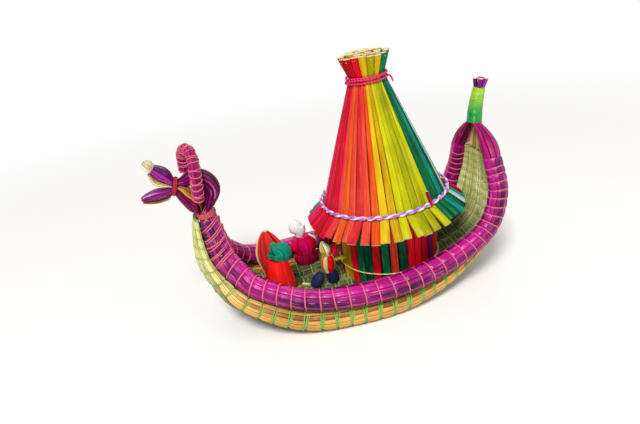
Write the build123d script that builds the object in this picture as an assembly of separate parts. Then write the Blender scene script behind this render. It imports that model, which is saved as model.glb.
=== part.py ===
from build123d import *
from collections import namedtuple
from math import atan, cos, pi, radians, sin, sqrt, tan
import os

os.makedirs("parts", exist_ok=True)

# A small ornamental reed boat with a straw hut and three straw dolls. Millimetres, +X to the bow,
# +Y to port, +Z up. It stands on z = 0, and x = 0 is under the middle of its whole length.
# The tables count x from the middle of the hull's foot, and z from a little under where it stands:
foot_behind_middle = 9.65
foot_trim = 0.4

# The block of ground that presses the foot flat
ground_length = 400
ground_width = 200
ground_depth = 20

# Clearances between pieces that seat on each other
seat_gap = 0.3
straw_gap = 0.16

# Sides of a bundle's outline: thick lashed rolls, thin rolls and single straws
bundle_sides = 12
roll_sides = 10
straw_sides = 8

# How far from a plane the fourth corner of a flat facet may lie
flat_tolerance = 1e-8

# Hull: natural rolls side by side, and a thicker purple roll along each side as its gunwale
rolls_per_side = 3
roll_sections = 22
roll_start = 0.4
roll_sag = 0.15
lashing_waist = 0.94

# One row per station from the bow to the stern. Columns: x, y, z and radius of the port gunwale,
# the angle in degrees by which the outer roll seats inboard of square under it,
# how far the middle of the roll sheet bellies out past the outer rolls, and the pitch of the lashings.
hull_rows = [
    (94.3, 4.7, 88.9, 4.3, -13, 0.4, 5.0),
    (92.7, 7.2, 75.9, 6.6, -11, 2.6, 6.0),
    (89.6, 8.9, 56.7, 7.7, -11, 5.7, 7.0),
    (82.4, 17.0, 45.4, 7.7, -12, 7.5, 8.5),
    (72.2, 26.1, 35.9, 7.4, -8, 7.4, 9.0),
    (46.3, 39.0, 26.8, 7.4, 4, 3.2, 9.0),
    (17.3, 46.1, 24.5, 7.5, 15, 0.8, 9.5),
    (-21.1, 47.1, 24.5, 7.5, 20, 0.6, 9.5),
    (-58.1, 41.8, 30.4, 7.3, 28, 1.6, 8.5),
    (-87.5, 35.1, 42.0, 7.0, 45, 2.6, 7.0),
    (-99.2, 31.0, 64.4, 6.6, 72, 1.5, 5.5),
    (-100.1, 22.6, 86.9, 6.3, 80, 1.0, 4.5),
]

# Neck tie: a band of thread round the two purple rolls, under the head
tie_height = 3.8
tie_wall = 1.0
tie_corner = 4.8
# Slack fore and aft, and to each side
tie_slack = (0.8, 1.6)

# Head. Rows count x and z from the middle of the gunwales' ends at the neck.
# The jaw tie binds the crown, the straws and the chin, and the jaws open in front of it.
jaw_tie_middle = (14.5, 18.4)
jaw_tie_lean = 21.0
jaw_tie_inside = (5.3, 5.1)
jaw_tie_wall = 1.0
jaw_tie_width = 2.2
throat_half_depth = 1.9
throat_half_width = 3.8
throat_offset = 2.6
throat_straw_half_depth = 0.3
# Where each bundle stands on the neck. Columns: distance to the bow, half depth and half width.
crown_seat = (-1.9, 2.6, 9.2)
straw_seat = (1.4, 0.4, 7.6)
chin_seat = (4.2, 2.1, 8.4)
# Columns: x, z, half depth and half width.
crown_rows = [
    (-3.9, 4.6, 4.8, 10.0),
    (-7.0, 12.3, 6.3, 10.2),
    (-4.0, 19.2, 5.6, 9.4),
    (2.0, 22.6, 4.1, 7.6),
    (8.0, 21.4, 2.8, 5.4),
]
chin_rows = [
    (6.4, 3.4, 3.8, 8.8),
    (10.2, 8.6, 3.2, 7.6),
    (13.0, 13.0, 2.4, 5.4),
]
head_straw_rows = [
    (2.0, 5.8, 0.9, 8.0),
    (6.5, 11.3, 1.0, 7.2),
    (10.0, 15.2, 0.8, 5.6),
]
upper_jaw_rows = [
    (18.1, 25.9, 4.1, 5.6),
    (21.3, 28.9, 4.7, 5.6),
    (24.8, 32.4, 3.0, 4.0),
]
lower_jaw_rows = [
    (20.4, 15.7, 2.9, 5.0),
    (26.0, 15.6, 3.5, 5.0),
    (31.6, 15.0, 2.7, 3.8),
    (35.9, 14.2, 1.4, 2.2),
]
# The jaws' natural linings at the jaws' rows, from the jaw tie on. Columns: gap to the jaw and half depth.
upper_lining_rows = [
    (0.3, 0.3),
    (0.3, 1.7),
    (0.3, 1.5),
    (0.3, 0.9),
]
lower_lining_rows = [
    (1.0, 0.5),
    (0.4, 0.7),
    (0.3, 0.8),
    (0.3, 0.7),
    (0.3, 0.5),
]
lining_share = 0.84
# The snout's knot. Columns: distance from the upper jaw's end, half depth and half width.
snout_rows = [
    (0.3, 2.6, 3.8),
    (2.8, 3.8, 4.6),
    (5.0, 3.3, 4.0),
    (6.6, 1.7, 2.2),
]

# Ear loop, a thin lashed roll bent over the head. Columns: x, y, z.
ear_radius = 3.7
ear_rows = [
    (2.0, 10.8, 10.3),
    (0.9, 12.0, 17.5),
    (0.3, 11.7, 25.0),
    (-0.3, 9.6, 32.4),
    (0.3, 4.4, 37.9),
    (2.6, -2.2, 39.6),
    (5.2, -7.6, 36.4),
    (6.1, -9.9, 30.0),
    (6.4, -10.1, 23.5),
]

# Stern. Rows count x and z from the middle of the gunwales' ends, and y from the centre plane.
# Columns of the bare purple ends, after their seat: x, y, z, half depth and half width.
stern_reed_rows = [
    (-0.5, 17.6, 7.1, 5.2, 6.4),
    (-0.3, 11.0, 14.3, 3.7, 4.7),
]
# Their upper ends under the sleeve: x, y, half depth and half width
stern_reed_end = (0.7, 3.6, 1.3, 3.0)
stern_straw_count = 5
# Columns, at the foot and under the sleeve: x, spacing and radius.
stern_straw_ends = [
    (-3.3, 5.0, 2.4),
    (-3.5, 1.5, 0.7),
]
# Sleeve. Columns: x, z and radius.
sleeve_rows = [
    (0.2, 20.6, 5.4),
    (-0.9, 30.1, 5.1),
    (-4.1, 43.7, 4.3),
]
tuft_count = 6
tuft_length = 6.4
tuft_middle_length = 7.0
# Columns, at the foot and at the tips: distance from the sleeve's axis and radius.
tuft_ends = [
    (2.8, 1.3),
    (4.1, 1.7),
]

# Hut wall
wall_x = -27.9
wall_radius = 34.1
wall_straws = 36
wall_straw_thickness = 2.4
binding_height = 25.5
binding_radius = 0.5

# Hut roof, on an axis that leans to the bow. Heights run along the axis from its base.
roof_base_x = -29.0
roof_base_z = 50.5
roof_lean = 2.36
roof_straws = 48
roof_straw_thickness = 2.4
ring_height = 21.5
ring_radius = 44.0
ring_cord_radius = 1.5
waist_height = 101.3
waist_radius = 10.8
skirt_height = 8.0
skirt_radius = 56.0
skirt_straw_width = 6.4
roof_tie_cord = 0.8
roof_tie_turns = 3
cord_sides = 6

# Bundle above the waist. Columns: straws in the ring, ring radius and straw radius at the top.
top_height = 117.4
top_squeeze = 0.66
top_rings = [
    (18, 14.6, 2.36),
    (12, 9.7, 2.32),
    (6, 4.85, 2.25),
    (1, 0.0, 2.25),
]
top_unevenness = 0.7

# Colour groups of straws, counted round from the bow over the port side. Columns: name, straws.
roof_group_straws = [
    ("crimson", 6),
    ("salmon", 6),
    ("gold", 2),
    ("lime", 5),
    ("green", 6),
    ("crimson_aft", 5),
    ("orange", 6),
    ("purple", 5),
    ("teal", 7),
]
roof_first_angle = -20.0
wall_colours = [
    "coral", "gold", "gold", "red", "green", "green", "red", "green", "coral", "green", "red", "red",
    "red", "purple", "red", "coral", "gold", "green", "red", "coral", "green", "gold", "red", "purple",
    "green", "red", "coral", "gold", "green", "red", "purple", "gold", "green", "coral", "red", "green",
]
wall_first_angle = -3.0
top_group_straws = [
    ("red", 4),
    ("gold", 3),
    ("green", 4),
    ("aft", 7),
]
top_first_angle = -12.0

# Dolls of folded straw. Where each stands: x and y.
bow_doll = (55.5, 12.0)
far_doll = (28.6, -28.0)
hut_doll = (20.5, 9.0)
# Their pieces, each seated on what is below it. Piece columns: name, doll, what it stands on, and rows.
# Row columns: x and y from the doll's place, height above the seat, half length and half width.
doll_pieces = [
    ("doll_bow_skirt", bow_doll, None,
     [(0, 0, 0, 8.6, 8.6), (0, 0, 5, 9.8, 9.6), (0, 0, 15, 9.2, 8.8), (0, 0, 26.5, 6.6, 6.0)]),
    ("doll_bow_shawl", bow_doll, "doll_bow_skirt",
     [(-2.0, 0, 0, 7.2, 5.4), (-2.8, 0, 3, 8.0, 6.0), (-2.8, 0, 5.5, 6.8, 5.2), (-0.2, 0, 8.5, 3.8, 3.4),
      (0.8, 0, 11.5, 1.8, 1.8)]),
    ("doll_bow_cape", bow_doll, None,
     [(4.0, -13, 0, 2.0, 1.6), (4.2, -13, 12, 4.4, 2.2), (3.0, -12.5, 24, 8.8, 2.4), (2.6, -12, 33, 9.2, 2.2),
      (3.2, -11.5, 41, 6.2, 1.8), (3.2, -11, 46.5, 2.2, 1.2)]),
    ("doll_far_skirt", far_doll, None,
     [(0, 0, 0, 8.0, 6.0), (0, 0, 4, 9.4, 7.0), (0, 0, 8.6, 8.2, 6.4)]),
    ("doll_far_body", far_doll, "doll_far_skirt",
     [(0.5, 0, 0, 7.4, 6.0), (0.4, 0, 4.5, 10.2, 7.0), (1.2, 0, 8.5, 10.2, 6.6), (2.0, 0, 13, 6.4, 5.0)]),
    ("doll_far_hat", far_doll, "doll_far_body",
     [(3.0, 0, 0, 2.8, 2.6), (2.4, 0, 4.5, 5.2, 4.0), (3.6, 0, 8.8, 6.2, 3.8), (2.0, 0, 12.3, 2.4, 2.2)]),
    ("doll_hut_skirt", hut_doll, None,
     [(-2.4, 0, 0, 4.0, 3.8), (-2.4, 0, 4, 4.4, 4.2), (-0.6, 0, 8, 3.4, 3.4)]),
    ("doll_hut_body", hut_doll, "doll_hut_skirt",
     [(0, 0, 0, 3.4, 3.2), (0, 0, 5, 4.8, 4.2), (-0.5, 0, 10, 4.6, 3.8), (-0.5, 0, 13, 3.0, 2.8)]),
    ("doll_hut_head", hut_doll, "doll_hut_body",
     [(0.2, 0, 0, 2.2, 2.2), (0.4, 0, 4, 3.8, 3.4), (1.2, 0, 7.5, 3.0, 2.6), (2.0, 0, 10, 1.3, 1.3)]),
]
# The hut doll's slanted apron, and its raised petal and arm. Columns: name, what their heights count from,
# and rows of x and y from the doll's place, height, half depth and half width.
doll_side_pieces = [
    ("doll_hut_apron", "floor",
     [(13.2, 2.0, 1.6, 1.8, 2.6), (10.6, 2.0, 4.4, 3.8, 4.6), (7.6, 2.0, 7.8, 3.8, 4.6),
      (5.8, 2.0, 10.4, 2.2, 3.0)]),
    ("doll_hut_petal", "doll_hut_skirt",
     [(-6.4, -0.6, 11.0, 1.4, 2.4), (-6.0, -0.8, 15.0, 2.4, 4.0), (-5.8, -1.0, 19.4, 1.2, 2.0)]),
    ("doll_hut_arm", "doll_hut_skirt",
     [(-5.4, 1.2, 8.4, 1.0, 1.2), (-8.4, 1.6, 8.8, 0.9, 1.0), (-10.6, 1.8, 8.6, 1.9, 1.9),
      (-12.6, 2.0, 8.4, 0.9, 0.9)]),
]

Section = namedtuple("Section", "gunwale radius outboard roll rolls pitch")


def blend(rows, place):
    """Smooth value of every column at a place counted in rows."""
    last = len(rows) - 1
    low = min(max(int(place), 0), last - 1)
    f = place - low
    a, b, c, d = (rows[min(max(k, 0), last)] for k in (low - 1, low, low + 1, low + 2))
    return [
        0.5 * (2 * q + (r - p) * f + (2 * p - 5 * q + 4 * r - s) * f ** 2 + (3 * q - p - 3 * r + s) * f ** 3)
        for p, q, r, s in zip(a, b, c, d)
    ]


def patch(corners):
    """Flat faces that fill four corners: one face where they lie in a plane, else two triangles."""
    a, b, c, d = corners
    square = (b - a).cross(d - a).normalized()
    if abs((c - a).dot(square)) < flat_tolerance:
        return [Face(Wire.make_polygon(corners, close=True))]
    return [Face(Wire.make_polygon([a, b, c], close=True)), Face(Wire.make_polygon([a, c, d], close=True))]


def skin(outlines, closed=False):
    """A ruled solid in flat facets through outlines with equally many corners, closed where it is a ring."""
    faces = []
    following = outlines[1:] + outlines[:1] if closed else outlines[1:]
    for lower, upper in zip(outlines, following):
        for k, corner in enumerate(lower):
            faces += patch([lower[k - 1], corner, upper[k], upper[k - 1]])
    if not closed:
        faces += [Face(Wire.make_polygon(outline, close=True)) for outline in (outlines[0], outlines[-1])]
    return Solid(Shell(faces))


def bundle(rows, across=Vector(0, 1, 0), sides=bundle_sides, start=None, end=None):
    """A reed bundle. Row columns: x, y, z, half depth, half width. Its ends face start and end where given."""
    middles = [Vector(*row[:3]) for row in rows]
    last = len(rows) - 1
    outlines = []
    for i, row in enumerate(rows):
        along = (middles[min(i + 1, last)] - middles[max(i - 1, 0)]).normalized()
        if i == 0 and start:
            along = start
        if i == last and end:
            along = end
        depth = across.cross(along).normalized()
        width = along.cross(depth)
        angles = [2 * pi * (k + 0.5) / sides for k in range(sides)]
        outlines.append([middles[i] + depth * (row[3] * cos(a)) + width * (row[4] * sin(a)) for a in angles])
    return skin(outlines)


def cord_ring(plane, radius, cord, steps):
    """A closed turn of cord on a plane."""
    outlines = []
    for k in range(steps):
        turn = 2 * pi * k / steps
        out = plane.x_dir * cos(turn) + plane.y_dir * sin(turn)
        angles = [2 * pi * j / cord_sides for j in range(cord_sides)]
        middle = plane.origin + out * radius
        outlines.append([middle + out * (cord * cos(a)) + plane.z_dir * (cord * sin(a)) for a in angles])
    return skin(outlines, closed=True)


def oval(half_x, half_y, sides=2 * bundle_sides):
    """A many-sided oval face."""
    angles = [2 * pi * k / sides for k in range(sides)]
    return Face(Wire.make_polygon([Vector(half_x * cos(a), half_y * sin(a)) for a in angles], close=True))


def straw(ends):
    """A flattened straw through six-sided sections. Row columns: middle, width, across, up, half thickness."""
    outlines = []
    for middle, width, across, up, half in ends:
        outlines.append([
            middle + across * (width * u) + up * (half * v)
            for u, v in ((-0.5, 0), (-0.27, -1), (0.27, -1), (0.5, 0), (0.27, 1), (-0.27, 1))
        ])
    return skin(outlines)


def to_starboard(shape):
    return mirror(shape, about=Plane.XZ)


def hull_section(place):
    """Gunwale centre and radius, outboard direction, and the rolls' radius and centres to port."""
    x, y, z, radius, seat, belly, pitch = blend(hull_rows, place)
    ahead = blend(hull_rows, place - 0.02)
    behind = blend(hull_rows, place + 0.02)
    along = Vector(behind[0] - ahead[0], 0, behind[2] - ahead[2]).normalized()
    outboard = Vector(-along.Z, 0, along.X)
    seat = radians(seat)
    roll = radius
    for _ in range(12):
        reach = radius + roll + seat_gap
        side = y - reach * sin(seat)
        half_angle = 2 * atan(belly / side)
        bend = side / sin(half_angle)
        roll = (bend * half_angle / (rolls_per_side - 0.5) - seat_gap) / 2
    centres = []
    for k in range(rolls_per_side):
        angle = half_angle * (2 * k + 1) / (2 * rolls_per_side - 1)
        out = reach * cos(seat) + bend * (cos(angle) - cos(half_angle))
        centres.append(Vector(x, 0, z) + outboard * out + Vector(0, bend * sin(angle), 0))
    return Section(Vector(x, y, z), radius, outboard, roll, centres, pitch)


hull_last = len(hull_rows) - 1
sections_per_row = 8
fine_sections = [hull_section(k / sections_per_row) for k in range(sections_per_row * hull_last + 1)]


def line_distance(point, line):
    """Distance from a point to the nearest stretch of a line through points."""
    distances = []
    for a, b in zip(line, line[1:]):
        share = (point - a).dot(b - a) / (b - a).length ** 2
        distances.append((a + (b - a) * min(max(share, 0), 1) - point).length)
    return min(distances)


def roll_radius(section, k):
    """Radius of a natural roll, kept clear of the rolls beside it and of the gunwale."""
    centre = section.rolls[k]
    limits = [section.roll, centre.Y - seat_gap / 2]
    for beside in (k - 1, k + 1):
        if 0 <= beside < rolls_per_side:
            line = [s.rolls[beside] for s in fine_sections]
            limits.append((line_distance(centre, line) - seat_gap) / 2)
    gunwale_line = [s.gunwale for s in fine_sections]
    limits.append(line_distance(centre, gunwale_line) - section.radius - seat_gap - roll_sag)
    return min(limits)


def lashing_places():
    """Places along the hull table where a lashing draws the gunwale in, a pitch apart."""
    step = 0.01
    places = [0.0]
    turns = 0.0
    place = 0.0
    here = hull_section(place)
    while place < hull_last - step:
        place += step
        there = hull_section(place)
        turns += (there.gunwale - here.gunwale).length / here.pitch
        here = there
        if turns >= 1:
            turns -= 1
            places.append(place)
    places[-1] = hull_last
    return places


floor_sections = [
    (s, [roll_radius(s, k) for k in range(rolls_per_side)]) for s in fine_sections if s.outboard.Z < -0.5
]


def floor_top(x, y):
    """Height of the rolls' upper sides at a place on the floor."""
    section, radii = min(floor_sections, key=lambda pair: abs(pair[0].rolls[0].X - x))
    slope = -section.outboard.Z
    tops = [min(c.Z for c in section.rolls)]
    for centre, radius in zip(section.rolls, radii):
        aside = abs(y) - centre.Y
        if abs(aside) < radius:
            tops.append(centre.Z + sqrt(radius ** 2 - aside ** 2) / slope)
    return max(tops)


def roof_point(height, radius, angle):
    """A point on the roof, from its height along the leaning axis, radius and angle."""
    lean = radians(roof_lean)
    axis = Vector(sin(lean), 0, cos(lean))
    side = Vector(cos(lean), 0, -sin(lean))
    out = side * cos(angle) + Vector(0, sin(angle), 0)
    return Vector(roof_base_x, 0, roof_base_z) + axis * height + out * radius


def roof_plane(height):
    """The plane square to the roof's axis at a height."""
    middle = roof_point(height, 0, 0)
    side = roof_point(height, 1, 0) - middle
    return Plane(origin=middle, x_dir=side, z_dir=roof_point(height + 1, 0, 0) - middle)


parts = {}

# Natural rolls of the hull, pressed flat where they stand
stern = hull_section(hull_last)
stern_up = Vector(stern.outboard.Z, 0, -stern.outboard.X)
stern_middle = Vector(stern.gunwale.X, 0, stern.gunwale.Z)
ground = Pos(0, 0, foot_trim - ground_depth / 2) * Box(ground_length, ground_width, ground_depth)
for k, name in enumerate(("inner", "middle", "outer")):
    rows = []
    for i in range(roll_sections):
        section = hull_section(roll_start + (hull_last - roll_start) * i / (roll_sections - 1))
        radius = roll_radius(section, k)
        rows.append((*section.rolls[k], radius, radius))
    port_roll = bundle(rows, sides=roll_sides, end=stern_up) - ground
    parts[f"reed_roll_{name}_port"] = port_roll
    parts[f"reed_roll_{name}_starboard"] = to_starboard(port_roll)

# Purple gunwale rolls, drawn in at every lashing
neck = hull_section(0.0)
neck_up = Vector(-neck.outboard.Z, 0, neck.outboard.X)
neck_middle = Vector(neck.gunwale.X, 0, neck.gunwale.Z)
lashings = lashing_places()
gunwale_places = [(lashings[0], lashing_waist)]
for here, there in zip(lashings, lashings[1:]):
    gunwale_places += [((here + there) / 2, 1.0), (there, lashing_waist)]
gunwale_rows = []
for place, share in gunwale_places:
    section = hull_section(place)
    gunwale_rows.append((*section.gunwale, section.radius * share, section.radius * share))
port_gunwale = bundle(gunwale_rows, start=-neck_up, end=stern_up)
parts["gunwale_port"] = port_gunwale
parts["gunwale_starboard"] = to_starboard(port_gunwale)

# Neck tie round both gunwales, flush with their ends
neck_plane = Plane(origin=neck_middle - neck_up * tie_height, x_dir=neck.outboard, z_dir=neck_up)
tie_inside = (2 * (neck.radius + tie_slack[0]), 2 * (neck.gunwale.Y + neck.radius + tie_slack[1]))
tie_outside = (tie_inside[0] + 2 * tie_wall, tie_inside[1] + 2 * tie_wall)
tie_ring = RectangleRounded(*tie_outside, tie_corner + tie_wall) - RectangleRounded(*tie_inside, tie_corner)
parts["neck_tie"] = extrude(neck_plane * tie_ring, tie_height)

# Head: bundles from the neck to the jaw tie, and jaws in front of it
lean = radians(jaw_tie_lean)
jaw_along = Vector(cos(lean), 0, sin(lean))
jaw_up = Vector(-sin(lean), 0, cos(lean))
jaw_middle = neck_middle + Vector(jaw_tie_middle[0], 0, jaw_tie_middle[1])


def head_rows(rows):
    """Rows of a bundle on the centre plane, moved to the neck. Row columns: x, z, half depth, half width."""
    return [(neck_middle.X + x, 0, neck_middle.Z + z, depth, width) for x, z, depth, width in rows]


def neck_seat(distance, depth, width):
    """The row where a bundle of the head stands on the neck."""
    return (*(neck_middle + neck.outboard * distance + neck_up * seat_gap), depth, width)


def throat(offset, depth, side):
    """The two rows of a bundle inside the jaw tie, middle first, on its neck (-1) or mouth (1) side."""
    ends = []
    for along in (seat_gap / 2, jaw_tie_width / 2 + seat_gap):
        ends.append((*(jaw_middle + jaw_up * offset + jaw_along * (side * along)), depth, throat_half_width))
    return ends


def head_bundle(seat, rows, offset, depth):
    """A bundle from the neck to the middle of the jaw tie."""
    inside, outside = throat(offset, depth, -1)
    return bundle([neck_seat(*seat), *head_rows(rows), outside, inside], start=neck_up, end=jaw_along)


def lining(jaw, side, thickness):
    """The natural straws that line a jaw from the jaw tie on, on its upper (1) or lower (-1) side."""
    rows = []
    for i, (gap, depth) in enumerate(thickness, start=1):
        along = (Vector(*jaw[min(i + 1, len(jaw) - 1)][:3]) - Vector(*jaw[i - 1][:3])).normalized()
        if i == 1:
            along = jaw_along
        square = Vector(-along.Z, 0, along.X)
        middle = Vector(*jaw[i][:3]) + square * (side * (jaw[i][3] + gap + depth))
        rows.append((*middle, depth, jaw[i][4] * lining_share))
    return bundle(rows, start=jaw_along)


parts["head_crown"] = head_bundle(crown_seat, crown_rows, throat_offset, throat_half_depth)
parts["head_straws"] = head_bundle(straw_seat, head_straw_rows, 0, throat_straw_half_depth)
parts["head_chin"] = head_bundle(chin_seat, chin_rows, -throat_offset, throat_half_depth)
upper_jaw = throat(throat_offset, throat_half_depth, 1) + head_rows(upper_jaw_rows)
lower_jaw = throat(-throat_offset, throat_half_depth, 1) + head_rows(lower_jaw_rows)
parts["upper_jaw"] = bundle(upper_jaw, start=jaw_along)
parts["lower_jaw"] = bundle(lower_jaw, start=jaw_along)
parts["jaw_linings"] = Compound(children=[
    lining(upper_jaw, -1, upper_lining_rows), lining(lower_jaw, -1, lower_lining_rows)
])
jaw_end = Vector(*upper_jaw[-1][:3])
jaw_end_along = (jaw_end - Vector(*upper_jaw[-2][:3])).normalized()
snout = [(*(jaw_end + jaw_end_along * out), depth, width) for out, depth, width in snout_rows]
parts["snout_tip"] = bundle(snout)
jaw_plane = Plane(origin=jaw_middle, x_dir=jaw_up, z_dir=jaw_along)
jaw_ring = oval(*(size + jaw_tie_wall for size in jaw_tie_inside)) - oval(*jaw_tie_inside)
parts["jaw_tie"] = extrude(jaw_plane * jaw_ring, jaw_tie_width / 2, both=True)
ear = [(*(neck_middle + Vector(*row)), ear_radius, ear_radius) for row in ear_rows]
parts["ear_loop"] = bundle(ear, across=Vector(1, 0, 0))

# Stern: bare ends of the purple and natural rolls meet under the sleeve
sleeve = [(stern_middle + Vector(x, 0, z), radius) for x, z, radius in sleeve_rows]
sleeve_foot_up = (sleeve[1][0] - sleeve[0][0]).normalized()
sleeve_foot_side = Vector(sleeve_foot_up.Z, 0, -sleeve_foot_up.X)


def sleeve_seat(x, y, depth, width):
    """The row where a bundle ends under the sleeve. x counts from the gunwales' ends."""
    ahead = stern_middle.X + x - sleeve[0][0].X
    middle = sleeve[0][0] - sleeve_foot_up * seat_gap + sleeve_foot_side * ahead
    return (middle.X, y, middle.Z, depth, width)


reed_foot = stern.gunwale + stern_up * seat_gap
reed_rows = [(*reed_foot, stern.radius * lashing_waist, stern.radius * lashing_waist)]
for x, y, z, depth, width in stern_reed_rows:
    reed_rows.append((stern_middle.X + x, y, stern_middle.Z + z, depth, width))
reed_rows.append(sleeve_seat(*stern_reed_end))
port_reeds = bundle(reed_rows, across=Vector(1, 0, 0), start=stern_up, end=sleeve_foot_up)
parts["stern_reeds_port"] = port_reeds
parts["stern_reeds_starboard"] = to_starboard(port_reeds)
pale_straws = []
(foot_x, foot_spacing, foot_radius), (end_x, end_spacing, end_radius) = stern_straw_ends
for k in range(stern_straw_count):
    offset = k - (stern_straw_count - 1) / 2
    foot = stern_middle + stern.outboard * -foot_x + stern_up * seat_gap
    ends = [
        (foot.X, offset * foot_spacing, foot.Z, foot_radius, foot_radius),
        sleeve_seat(end_x, offset * end_spacing, end_radius, end_radius),
    ]
    pale_straws.append(bundle(ends, sides=straw_sides, start=stern_up, end=sleeve_foot_up))
parts["stern_straws"] = Compound(children=pale_straws)
parts["stern_sleeve"] = bundle([(*middle, radius, radius) for middle, radius in sleeve])
sleeve_up = (sleeve[-1][0] - sleeve[-2][0]).normalized()
sleeve_side = Vector(sleeve_up.Z, 0, -sleeve_up.X)
sleeve_top = sleeve[-1][0] + sleeve_up * seat_gap
(foot_ring, foot_radius), (tip_ring, tip_radius) = tuft_ends
tuft = [bundle([(*(sleeve_top + sleeve_up * h), foot_radius, foot_radius) for h in (0, tuft_middle_length)],
               sides=straw_sides)]
for k in range(tuft_count):
    angle = 2 * pi * k / tuft_count
    out = sleeve_side * cos(angle) + Vector(0, sin(angle), 0)
    ends = [
        (*(sleeve_top + out * foot_ring), foot_radius, foot_radius),
        (*(sleeve_top + sleeve_up * tuft_length + out * tip_ring), tip_radius, tip_radius),
    ]
    tuft.append(bundle(ends, sides=straw_sides, start=sleeve_up))
parts["stern_tuft"] = Compound(children=tuft)

# Roof straws: waist, bend under the ring cord, skirt edge
cone_slope = (ring_radius - waist_radius) / (waist_height - ring_height)
upper = Vector(-cone_slope, 1, 0).normalized()
lower = Vector(skirt_radius - ring_radius, skirt_height - ring_height, 0).normalized()
upper_out = Vector(upper.Y, -upper.X, 0)
lower_out = Vector(-lower.Y, lower.X, 0)
seat_line = (upper_out + lower_out) * (1 / (1 + upper_out.dot(lower_out)))
cord_reach = ring_cord_radius + seat_gap + roof_straw_thickness / 2
bend_radius = ring_radius - seat_line.X * cord_reach
bend_height = ring_height - seat_line.Y * cord_reach
pitch_angle = 2 * pi / roof_straws
chord = 2 * tan(pitch_angle / 2)
waist_gap = 0.1
roof_stations = [
    (waist_height - waist_gap, waist_radius, chord * waist_radius - straw_gap, upper_out),
    (bend_height, bend_radius, chord * bend_radius - straw_gap, seat_line.normalized()),
    (skirt_height, skirt_radius, skirt_straw_width, lower_out),
]


def roof_straw(angle):
    """One straw of the roof, from the waist over the bend to the skirt's edge."""
    around = roof_point(0, 1, angle + pi / 2) - roof_point(0, 0, 0)
    ends = []
    for height, radius, width, out in roof_stations:
        middle = roof_point(height, radius, angle)
        up = roof_point(height + out.Y, radius + out.X, angle) - middle
        ends.append((middle, width, around, up, roof_straw_thickness / 2))
    return straw(ends)


count = 0
for name, straws in roof_group_straws:
    group = []
    for _ in range(straws):
        group.append(roof_straw(radians(roof_first_angle) + pitch_angle * count))
        count += 1
    parts[f"roof_straws_{name}"] = Compound(children=group)

parts["roof_ring_cord"] = cord_ring(roof_plane(ring_height), ring_radius, ring_cord_radius, roof_straws)
turns = []
turn_pitch = 2 * roof_tie_cord + seat_gap
for k in range(roof_tie_turns):
    rise = (k - (roof_tie_turns - 1) / 2) * turn_pitch
    below = waist_radius + max(0, -rise) * cone_slope + roof_straw_thickness / 2 / upper_out.X
    opened = top_squeeze + (1 - top_squeeze) * (max(0, rise) + roof_tie_cord) / (top_height - waist_height)
    reach = max(below, (top_rings[0][1] + top_rings[0][2]) * opened) + 2 * seat_gap + roof_tie_cord
    turns.append(cord_ring(roof_plane(waist_height + rise), reach, roof_tie_cord, roof_straws // 2))
parts["roof_tie"] = Compound(children=turns)

# Straw ends above the waist
top_nodes = {}
roof_up = roof_point(1, 0, 0) - roof_point(0, 0, 0)
for ring, (straws, ring_out, radius) in enumerate(top_rings):
    colours = [name for name, number in top_group_straws for _ in range(number)]
    for k in range(straws):
        angle = radians(top_first_angle) + 2 * pi * k / straws
        trim = top_unevenness * sin(5 * k + 3 * ring)
        ends = []
        for height, share in ((waist_height + waist_gap, top_squeeze), (top_height + trim, 1.0)):
            ends.append((*roof_point(height, ring_out * share, angle), radius * share, radius * share))
        name = colours[k] if ring == 0 else "inner"
        top_nodes.setdefault(f"top_straws_{name}", []).append(bundle(ends, sides=straw_sides, start=roof_up))
for name, group in top_nodes.items():
    parts[name] = Compound(children=group)

# Wall straws, from the floor up to the inside of the roof
wall_pitch = 2 * pi / wall_straws
wall_width = 2 * tan(wall_pitch / 2) * (wall_radius - wall_straw_thickness / 2) - straw_gap
roof_foot = roof_point(0, 0, 0)
wall_nodes = {}
for k, name in enumerate(wall_colours):
    angle = radians(wall_first_angle) + wall_pitch * k
    out = Vector(cos(angle), sin(angle), 0)
    around = Vector(-sin(angle), cos(angle), 0)
    middle = Vector(wall_x, 0, 0) + out * wall_radius
    half = wall_straw_thickness / 2
    corners = [middle + around * (wall_width * u) + out * v for u in (-0.5, 0, 0.5) for v in (-half, half)]
    foot = max(floor_top(c.X, c.Y) for c in corners) + seat_gap
    reach = middle + out * half
    top = roof_base_z
    for _ in range(20):
        probe = Vector(reach.X, reach.Y, top) - roof_foot
        height = probe.dot(roof_up)
        spread = (probe - roof_up * height).length + seat_gap
        inside = bend_radius - (height - bend_height) * cone_slope - roof_straw_thickness / 2 / upper_out.X
        top += (inside - spread) / cone_slope
    ends = [(Vector(middle.X, middle.Y, z), wall_width, around, out, half) for z in (foot, top)]
    wall_nodes.setdefault(f"wall_straws_{name}", []).append(straw(ends))
for name, group in wall_nodes.items():
    parts[name] = Compound(children=group)
binding_reach = wall_radius + wall_straw_thickness / 2 + 2 * seat_gap + binding_radius
binding_plane = Plane(origin=(wall_x, 0, binding_height))
parts["wall_binding"] = cord_ring(binding_plane, binding_reach, binding_radius, wall_straws)

# Dolls


def floor_seat(x, y, half_x, half_y):
    """Height of an oval foot that stands on the floor's rolls."""
    angles = [pi / 12 * k for k in range(24)]
    places = [(x + half_x * s * cos(a), y + half_y * s * sin(a)) for a in angles for s in (0.5, 1.0)]
    return max(floor_top(*place) for place in places) + seat_gap


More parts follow.
